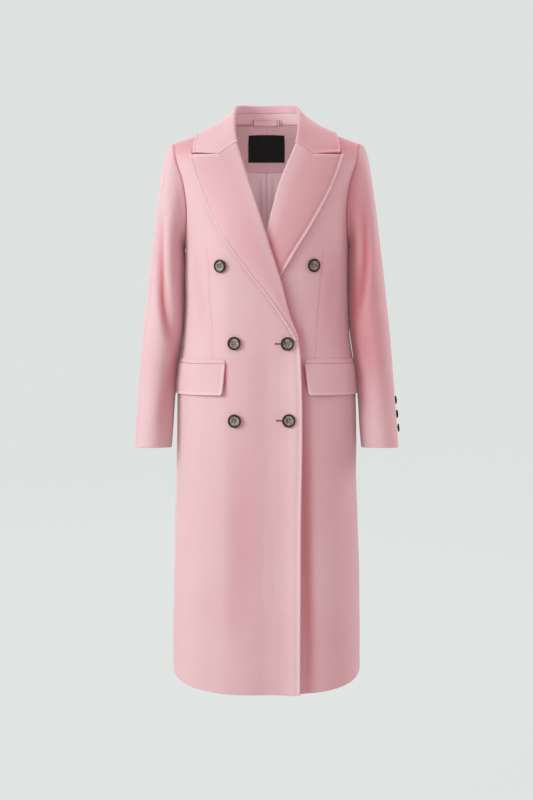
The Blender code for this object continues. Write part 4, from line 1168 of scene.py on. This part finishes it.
def sleeveTube(turn, height):
    # the sleeve below its cap
    outer, inner, centreY, halfDepth = np.moveaxis(sleeveSection(height), -1, 0)
    y = -halfDepth * np.sin(turn)
    tilt = sleeves["cuffTilt"] * (1 - ease(sleeves["cuffHeight"], 0.75, height))
    x = (outer + inner) / 2 + (outer - inner) / 2 * np.cos(turn)
    return stack(x, centreY + y, height - tilt * y)


def byTurn(turn, top, side, bottom):
    up, out = np.cos(turn), np.abs(np.sin(turn))
    weights = (np.maximum(up, 0), out, np.maximum(-up, 0))
    return (top * weights[0] + side * weights[1] + bottom * weights[2]) / sum(weights)


def sleeveSurface(turn, down):
    # down is 0 at the armhole, 1 where the cap ends and 2 at the cuff
    ringHeight = sleeves["ringHeight"]
    lower = sleeveTube(turn, mix(ringHeight, sleeves["cuffHeight"], np.clip(down - 1, 0, 1)))
    seam = armholePlace((turn + math.pi) % (2 * math.pi) - math.pi) + (sewnGap, 0, 0)
    ring = sleeveTube(turn, turn * 0 + ringHeight)
    upward = unit(sleeveTube(turn, turn * 0 + ringHeight + 0.0004) - ring)
    leave = unit(stack(1.0, -0.25 * np.sin(turn), byTurn(turn, *sleeves["leave"])))
    first = seam + leave * byTurn(turn, *sleeves["firstPull"])[..., None]
    last = ring + upward * byTurn(turn, *sleeves["lastPull"])[..., None]
    cap = bezier(seam, first, last, ring, np.clip(down, 0, 1)[..., None])
    return pick(down > 1, lower, cap)


def sleeveTurnAt(side, upper, down, share):
    frontTop, backCuff = math.pi * (1 - sleeves["seamPart"]), sleeves["backSeamCuff"][side]
    frontCuff = sleeves["frontSeamCuff"]
    if upper:
        top, cuff = (-frontTop, frontTop), (backCuff, frontCuff)
    else:
        top, cuff = (frontTop, 2 * math.pi - frontTop), (frontCuff, backCuff + 2 * math.pi)
    gap = sewnGap / 0.1 * (1 - 2 * share)
    return mix(mix(*top, share), mix(*cuff, share), down / 2) + gap


def makeSleeve(side, upper):
    layer = "upper" if upper else "under"
    kind = layer + "_" + words[side]
    sides = ("seam", "faint") if upper else ("faint", "seam")  # the front seam is pressed flat
    piece = dict(sleeves, name="sleeve_" + kind, edges=("seam", "round") + sides,
                 cut=sleeves["cuts"][kind] + ("hung", sleeves["heldBy"][layer] + words[side]))

    def point(down, share):
        found = sleeveSurface(sleeveTurnAt(side, upper, down, share), down)
        found[..., 0] *= side
        return found

    def detail(points, down, share, distances):
        turn = np.degrees(sleeveTurnAt(side, upper, down, share))
        turn, height = (turn + 180) % 360 - 180, points[..., 2]
        lift = creaseLift(turn, height, sleeves["creases"][side], sleeves["perDegree"])
        touch = ease(118, 162, np.abs(turn)) * within(height, 0.58, 0.66, 0.94, 1.02)
        deep = np.clip(-lift / sleeves["creaseShadeDepth"], 0, 0.7) + sleeves["touchShade"] * touch
        if side > 0:  # the front of this sleeve lies in shade
            shade = within(turn, 30, 90, 140, 176) * ease(0.56, 0.74, height)
            deep = deep + sleeves["frontShade"] * shade
        fill = ease(125, 160, np.abs(turn)) * within(height, 0.865, 0.895, 0.938, 0.960)
        lift = lift + sleeves["armpitFill"] * fill + softWave(points, 0.0003)
        return lift * ease(0.0, 0.03, distances[0]), np.clip(deep, 0, 1)

    down = np.concatenate((linesAlong(0.28, 0.0045, (True, False)),
                           1 + linesAlong(0.39, 0.0050, (False, True))[1:]))
    makeWall(piece, point, down, linesAlong(0.20, 0.0038), side > 0, detail)


# pockets

pockets = {
    "frontX": {-1: (0.0850, 0.0893), 1: (0.0792, 0.0868)}, "sideAngle": math.radians(77),
    "lift": 0.0008, "cornerRadius": 0.008, "cornerCut": 0.0026, "weltTaper": 0.0040, "frontKick": 2.4,
    "welt_": {
        "thickness": 0.0020, "offset": 0.0010, "edges": ("round",) * 4, "cut": (0.010, 0.158, 0.0014, "hung"),
        "tops": (0.7065, 0.7005), "depth": 0.0090, "kick": 0.0, "lines": (0.009, 0.0010),
    },
    "flap_": {
        "thickness": 0.0030, "offset": 0.0015, "edges": ("lip", "lip", "round", "lip"), "lip": 0.0006,
        "cut": (0.068, 0.162, 0.0107, "hung"),
        "tops": (0.6971, 0.6911), "depth": 0.0660, "kick": 0.0021, "lines": (0.066, 0.0030),
    },
}


def pocketPoint(side, kind):
    # across from the front end to the side end, down from the top edge
    form, isFlap = pockets[kind], kind == "flap_"
    depth = form["depth"]

    def skin(turn, level):
        found = surface(turn, level, True)
        found[..., 1] -= lapLift(found[..., 0], level, side)
        return found

    def point(across, down):
        height = mix(*form["tops"], across) - depth * down
        slant = down if isFlap else down * 0
        frontX = mix(*pockets["frontX"][side], slant)
        if isFlap:
            corner = np.maximum(0, 1 - (1 - down) * depth / pockets["cornerRadius"])
            frontX = frontX + pockets["cornerCut"] * corner**2 * (1 - across)
        else:  # the welt narrows into the flap's front end
            taper = (1 - down) * np.maximum(0, 1 - across / 0.06) ** 1.5
            height = height - pockets["weltTaper"] * taper
        angle = side * mix(angleAt(frontX, height, True), pockets["sideAngle"], across)
        plain = skin(angle, height)
        kick = form["kick"] * down**2 * (1 + pockets["frontKick"] * (1 - across) ** 3)
        lift = pockets["lift"] + kick + frontLift(side, plain)[0]
        return plain + normalOn(skin, angle, height, 0.004) * lift[..., None]

    return point


def makePocket(side):
    for kind in ("welt_", "flap_"):
        form, name = pockets[kind], kind + words[side]
        piece = dict(form, name=name, cut=form["cut"] + ("front_" + words[side],))
        rows, columns = linesAlong(0.115, 0.0030), linesAlong(*form["lines"])
        makeWall(piece, pocketPoint(side, kind), rows, columns, side > 0)


# inside of the neck

neckInside = {
    "facingStart": 0.615, "pleatDepth": 0.0050, "liningLow": 0.0165,
    "labelHalfWidth": 0.0405, "labelHeights": (1.1240, 1.1835),
    "loopHalfLength": 0.0338, "loopMiddle": 1.2070, "loopHalfWidth": 0.0056, "loopBow": 0.0015,
}
facing = {
    "name": "back_neck_facing", "thickness": 0.0015, "edges": ("round", "seam", "round", "round"),
    "cut": (0.480, 0.138, 0.0490, "hung", "back_left", "back_right"), "shadeInside": 1,
}
lining = {
    "name": "back_lining", "thickness": 0.0010, "edges": ("round",) * 4, "shadeInside": 1,
    "cut": (0.604, 1.090, 0.551, "hung", "back_neck_facing"), "slot": "lining", "material": satinLining,
}
label = {
    "name": "neck_label", "thickness": 0.0010, "edges": ("round",) * 4, "node": "label",
    "cut": (0.082, 0.061, 0.0049, "laid", "back_neck_facing"), "slot": "label", "material": wovenLabel,
}
loop = {
    "name": "hanger_loop", "thickness": 0.0016, "edges": ("round",) * 4,
    "cut": (0.0115, 0.070, 0.00077, "hung", "back_neck_facing"),
}
facingInset = backs["thickness"] + seamGap
faceInset = facingInset + facing["thickness"]
facing["offset"] = -facingInset - facing["thickness"] / 2
lining["offset"] = -facingInset - lining["thickness"] / 2


def bothBacks(up, station):
    found = panelPoint(up, 1 - np.abs(station), False, lambda h: h * 0, napeHeight)
    found[..., 0] *= np.where(station < 0, -1, 1)
    return found + (0, seamGap / 2, 0)


def insideBack(x, height, inset):
    normal = normalOn(lambda a, b: bodySkin(a, b, False), x, height)
    return bodySkin(x, height, False) + normal * inset


def facingDetail(points, up, station, distances):
    seam = bell(points[..., 0], 0.0011)
    edge = bell(distances[0] - 0.0015, 0.0012)
    # painted shade along the centre seam
    return 0.0009 * seam - 0.0006 * edge, seam * 0.5


def liningDetail(points, up, station, distances):
    # a pleat down the middle of the back, and a little fullness
    x, height = points[..., 0], points[..., 2]
    depth = neckInside["pleatDepth"] * within(height, 0.30, 0.80, 1.06, 1.112)
    fold = bell(np.abs(x) - 0.0065, 0.0055) * (1 - bell(x, 0.0014))
    drape = (0.0044 + 0.0016 * np.sin(x * 74 + 0.6)) * ease(1.105, 1.04, height)
    room = ease(0, 0.02, distances[0]) * ease(0, 0.03, distances[2]) * ease(0, 0.03, distances[3])
    # painted shade down the pleat's fold
    return -(depth * fold + drape) * room, bell(x, 0.0016) * ease(1.105, 1.09, height)


def labelPoint(up, across):
    half, inset = neckInside["labelHalfWidth"], faceInset + 4 * seamGap + label["thickness"] / 2
    return insideBack(mix(-half, half, across), mix(*neckInside["labelHeights"], up), inset)


def loopPoint(up, across):
    swing = 2 * across - 1
    bow = neckInside["loopBow"] * (1 - swing**2)
    inset = faceInset + 1.5 * seamGap + bow + loop["thickness"] / 2
    found = insideBack(neckInside["loopHalfLength"] * swing, swing * 0 + napeHeight, inset[..., None])
    width = neckInside["loopHalfWidth"]
    found[..., 2] = neckInside["loopMiddle"] + mix(-width, width, up) - bow
    return found


def makeInside():
    stations = (linesAlong(0.42, 0.0036) - 0.5) * 2
    start = mix(armhole["start"], 1.0, neckInside["facingStart"])
    rows = mix(start, 1.0, linesAlong(0.10, 0.0034))
    makeWall(facing, bothBacks, rows, stations, False, facingDetail)
    rows = mix(neckInside["liningLow"], start - 0.0009, linesAlong(1.08, 0.0080))
    columns = np.sort(np.concatenate((stations, np.linspace(-0.05, 0.05, 41))))
    columns = columns[np.concatenate(([True], np.diff(columns) > 1e-5))]
    makeWall(lining, bothBacks, rows, columns, False, liningDetail)
    makeWall(label, labelPoint, linesAlong(0.058, 0.0030), linesAlong(0.079, 0.0030))
    makeWall(loop, loopPoint, linesAlong(0.0094, 0.0010), linesAlong(0.062, 0.0024))


# buttons, buttonholes and thread

buttons = {
    "frontRadius": 0.0140, "cuffRadius": 0.0090, "cuffHeights": (0.5500, 0.5795, 0.6090),
    # x, height and which front each is sewn to
    "places": {
        "button_top_right": (-0.0942, 0.8986, -1), "button_top_left": (0.0967, 0.9000, 1),
        "button_middle_right": (-0.0664, 0.7396, -1), "button_middle_left": (0.0425, 0.7390, -1),
        "button_low_right": (-0.0660, 0.5790, -1), "button_low_left": (0.0455, 0.5800, -1),
    },
    # out and up, as shares of the radius: back face, rim, then the dished middle
    "profile": (
        (0.20, 0.13), (0.60, 0.13), (0.84, 0.15), (0.93, 0.18), (0.985, 0.24), (1.00, 0.31),
        (0.985, 0.38), (0.94, 0.43), (0.88, 0.45), (0.82, 0.445), (0.76, 0.42), (0.70, 0.375),
        (0.64, 0.35), (0.56, 0.345), (0.46, 0.34),
    ),
    "rimShare": 0.69, "holeOut": 0.215, "holeRadius": 0.085, "sides": 48, "spin": 0.5,
    "top": 0.34, "back": 0.13, "thread": 0.026, "threadApart": 0.028, "stem": 0.07,
    "besideSeam": 0.16,
}


def addRing(shape, ring, before, mark):
    # a ring of points, joined to the ring before it
    start, count = len(shape["points"]), len(ring)
    shape["points"].extend(np.asarray(ring, float).tolist())
    if before is not None:
        for n in range(count):
            m = (n + 1) % count
            shape["faces"].append((before + n, before + m, start + m, start + n))
            shape["marks"].append(mark)
    return start


def tube(shape, path, radius, mark, sides=7):
    # a closed thread along a few points
    path = np.array(path, float)
    along = unit(np.gradient(path, axis=0))
    helper = np.array((0.0, 0.0, 1.0)) if abs(along[0][2]) < 0.9 else np.array((1.0, 0.0, 0.0))
    first = unit(np.cross(along, helper))
    second = np.cross(along, first)
    turns = 2 * math.pi * np.arange(sides) / sides
    before = None
    for place, a, b in zip(path, first, second):
        ring = place + radius * (np.cos(turns)[:, None] * a + np.sin(turns)[:, None] * b)
        before = addRing(shape, ring, before, mark)
    start = before - sides * (len(path) - 1)
    shape["faces"].append(tuple(range(before, before + sides)))
    shape["faces"].append(tuple(range(start, start + sides))[::-1])
    shape["marks"].extend((mark, mark))


def atTurn(out, turn, up):
    return (out * math.cos(turn), out * math.sin(turn), up)


def buttonShape():
    # rim and dished middle, with four holes through it
    shape = {"points": [], "faces": [], "marks": []}
    points, count, top = shape["points"], buttons["sides"], buttons["top"]
    rim = None
    for out, up in buttons["profile"]:
        mark = 0 if out >= buttons["rimShare"] or up < 0.2 else 1
        rim = addRing(shape, [atTurn(out, 2 * math.pi * n / count, up) for n in range(count)], rim, mark)
    # the middle is four quarter plates, each with a hole at its centre
    middle = addRing(shape, [(0, 0, top)], None, 1)
    spokes = []
    for n in range(4):
        start = addRing(shape, [atTurn(out, math.pi / 2 * n, top) for out in (0.15, 0.30)], None, 1)
        spokes.append([start, start + 1])
    for n in range(4):
        centre = np.array(atTurn(buttons["holeOut"], math.pi / 2 * (n + 0.5), 0))
        arc = [rim + k % count for k in range(n * count // 4, (n + 1) * count // 4 + 1)]
        loop = arc + spokes[(n + 1) % 4][::-1] + [middle] + spokes[n]
        angles = [math.atan2(points[k][1] - centre[1], points[k][0] - centre[0]) for k in loop]
        rings = [loop]
        for share, level in ((1.0, top - 0.012), (0.9, buttons["back"])):
            ring = [centre + atTurn(buttons["holeRadius"] * share, angle, level) for angle in angles]
            start = addRing(shape, ring, None, 0)
            rings.append(list(range(start, start + len(loop))))
        for k in range(len(loop)):
            m = (k + 1) % len(loop)
            for above, below in ((rings[0], rings[1]), (rings[1], rings[2])):
                shape["faces"].append((above[k], above[m], below[m], below[k]))
            shape["marks"].extend((1, 0))
    shape["faces"].append(tuple(range(count))[::-1])  # the back plate
    shape["marks"].append(0)
    return shape


def addButtonThread(shape):
    # two pairs of threads crossing over the holes, and a stem of six threads behind
    for first, rise in ((0, 0.0), (1, 0.03)):
        a, b = [np.array(atTurn(buttons["holeOut"], math.pi / 2 * (n + 0.5), 0)) for n in (first, first + 2)]
        aside = np.array((-(b - a)[1], (b - a)[0], 0))
        aside = aside / np.linalg.norm(aside) * buttons["threadApart"]
        for shift in (-1, 1):
            path = []
            for part in np.linspace(0, 1, 9):
                bow = 0.36 + rise + 0.045 * math.sin(math.pi * part) if 0 < part < 1 else 0.22
                path.append(mix(a, b, part) + aside * shift + (0, 0, bow))
            tube(shape, path, buttons["thread"], 2)
    for n in range(6):
        turn, out = math.pi / 3 * n, buttons["stem"]
        path = (atTurn(out * 1.5, turn + 0.5, -0.03), atTurn(out * 0.9, turn + 0.25, 0.07),
                atTurn(out, turn, 0.16))
        tube(shape, path, 0.045, 2, 6)


def makeButton(name, place, normal, radius, spin):
    shape = buttonShape()
    addButtonThread(shape)
    normal = np.asarray(normal, float)
    across = unit(np.cross((0.0, 0.0, 1.0), normal))
    upward = np.cross(normal, across)
    c, s = math.cos(spin), math.sin(spin)
    axes = np.stack((across * c + upward * s, upward * c - across * s, normal))
    world = place + np.array(shape["points"]) * radius @ axes + normal * seamGap
    made = meshObject(name, world, shape["faces"], (hornRim, hornCentre, buttonThread), shape["marks"])
    standFor(made, [name], "horn")


def makeButtons():
    for n, (name, (x, height, side)) in enumerate(buttons["places"].items()):
        x, height = np.array(x), np.array(height)
        makeButton(name, dressedSkin(x, height, side), frontNormal(x, height, side),
                   buttons["frontRadius"], buttons["spin"] * (n + 1))
    for side in (1, -1):
        mirror = np.array((side, 1, 1))
        for n, height in enumerate(buttons["cuffHeights"], 1):
            down = 1 + (sleeves["ringHeight"] - height) / (sleeves["ringHeight"] - sleeves["cuffHeight"])
            back = -math.pi * (1 - sleeves["seamPart"])
            turn = np.array(mix(back, sleeves["backSeamCuff"][side], down / 2) + buttons["besideSeam"])
            down = np.array(down)
            normal = normalOn(sleeveSurface, turn, down, 1e-3)
            normal = normal * (1 if normal[0] > 0 else -1)
            makeButton("cuff_button_%s_%d" % (words[side], n), sleeveSurface(turn, down) * mirror,
                       normal * mirror, buttons["cuffRadius"], 0.3 * n)


buttonholes = {
    "places": ((0.0425, 0.7390), (0.0455, 0.5800)), "reach": (-0.0238, 0.0035), "halfWidth": 0.0011,
    "stitches": 34, "endStitches": 9, "threadRadius": 0.00042, "slitRadius": 0.00030,
    # each stitch's path: out from the slit, lift off the cloth
    "sideStitch": ((0.12, -0.0002), (0.22, 0.0005), (0.60, 0.0007), (0.92, 0.0005), (1.05, -0.0003)),
    "endStitch": ((0.0004, -0.0002), (0.0008, 0.0006), (0.0016, 0.0005), (0.0019, -0.0003)),
}


def makeButtonholes():
    # two worked holes in the top front: stitches along both lips of a slit and round its inner end
    half, radius = buttonholes["halfWidth"], buttonholes["threadRadius"]
    start, end = buttonholes["reach"]
    for number, (x, height) in enumerate(buttonholes["places"], 1):
        def onCloth(along, up, lift):
            place, level = np.array(x + along), np.array(height + up)
            return dressedSkin(place, level, -1) + frontNormal(place, level, -1) * lift

        shape = {"points": [], "faces": [], "marks": []}
        for n in range(buttonholes["stitches"]):
            along = mix(start, end, (n + 0.5) / buttonholes["stitches"])
            for side in (-1, 1):
                path = [onCloth(along, side * out * half, lift) for out, lift in buttonholes["sideStitch"]]
                tube(shape, path, radius, 0, 6)
        for turn in np.linspace(math.pi / 2, math.pi * 1.5, buttonholes["endStitches"]):
            path = [onCloth(start + math.cos(turn) * out, math.sin(turn) * out, lift)
                    for out, lift in buttonholes["endStitch"]]
            tube(shape, path, radius, 0, 6)
        # a dark tube down the slit stands in for the shade inside it
        slit = [onCloth(along, 0.0, 0.00012) for along in np.linspace(start, end, 12)]
        tube(shape, slit, buttonholes["slitRadius"], 1, 6)
        hole = meshObject("buttonhole_%d" % number, shape["points"], shape["faces"],
                          (holeThread, slitShade), shape["marks"])
        standFor(hole, [], "wool")


tacks = {
    # x and height of each bar tack on the hanger loop
    "places": ((-0.0310, 1.2070), (0.0255, 1.2070), (0.0312, 1.2070)),
    "halfLength": 0.0058, "radius": 0.00055, "apart": 0.0006, "lift": 0.0003,
}


def makeTacks():
    shape = {"points": [], "faces": [], "marks": []}
    inset = faceInset + loop["thickness"] + 2 * seamGap + tacks["lift"]
    for x, height in tacks["places"]:
        for shift in (-tacks["apart"], tacks["apart"]):
            path = []
            for part in np.linspace(-1, 1, 9):
                place = insideBack(np.array(x + shift), np.array(napeHeight), inset)
                place[2] = height + part * tacks["halfLength"]
                path.append(place)
            tube(shape, path, tacks["radius"], 0, 6)
    standFor(meshObject("loop_tacks", shape["points"], shape["faces"], (holeThread,)), [], "wool")


for side in (1, -1):
    makeFront(side)
    makeBack(side)
print("fronts and backs are made")
for side in (1, -1):
    makeLapel(side)
makeCollar()
print("lapels and collar are made")
for side in (1, -1):
    for upper in (True, False):
        makeSleeve(side, upper)
    makePocket(side)
print("sleeves and pockets are made")
makeInside()
makeButtons()
makeButtonholes()
makeTacks()
print("inside, buttons and thread are made")

bpy.context.view_layer.update()
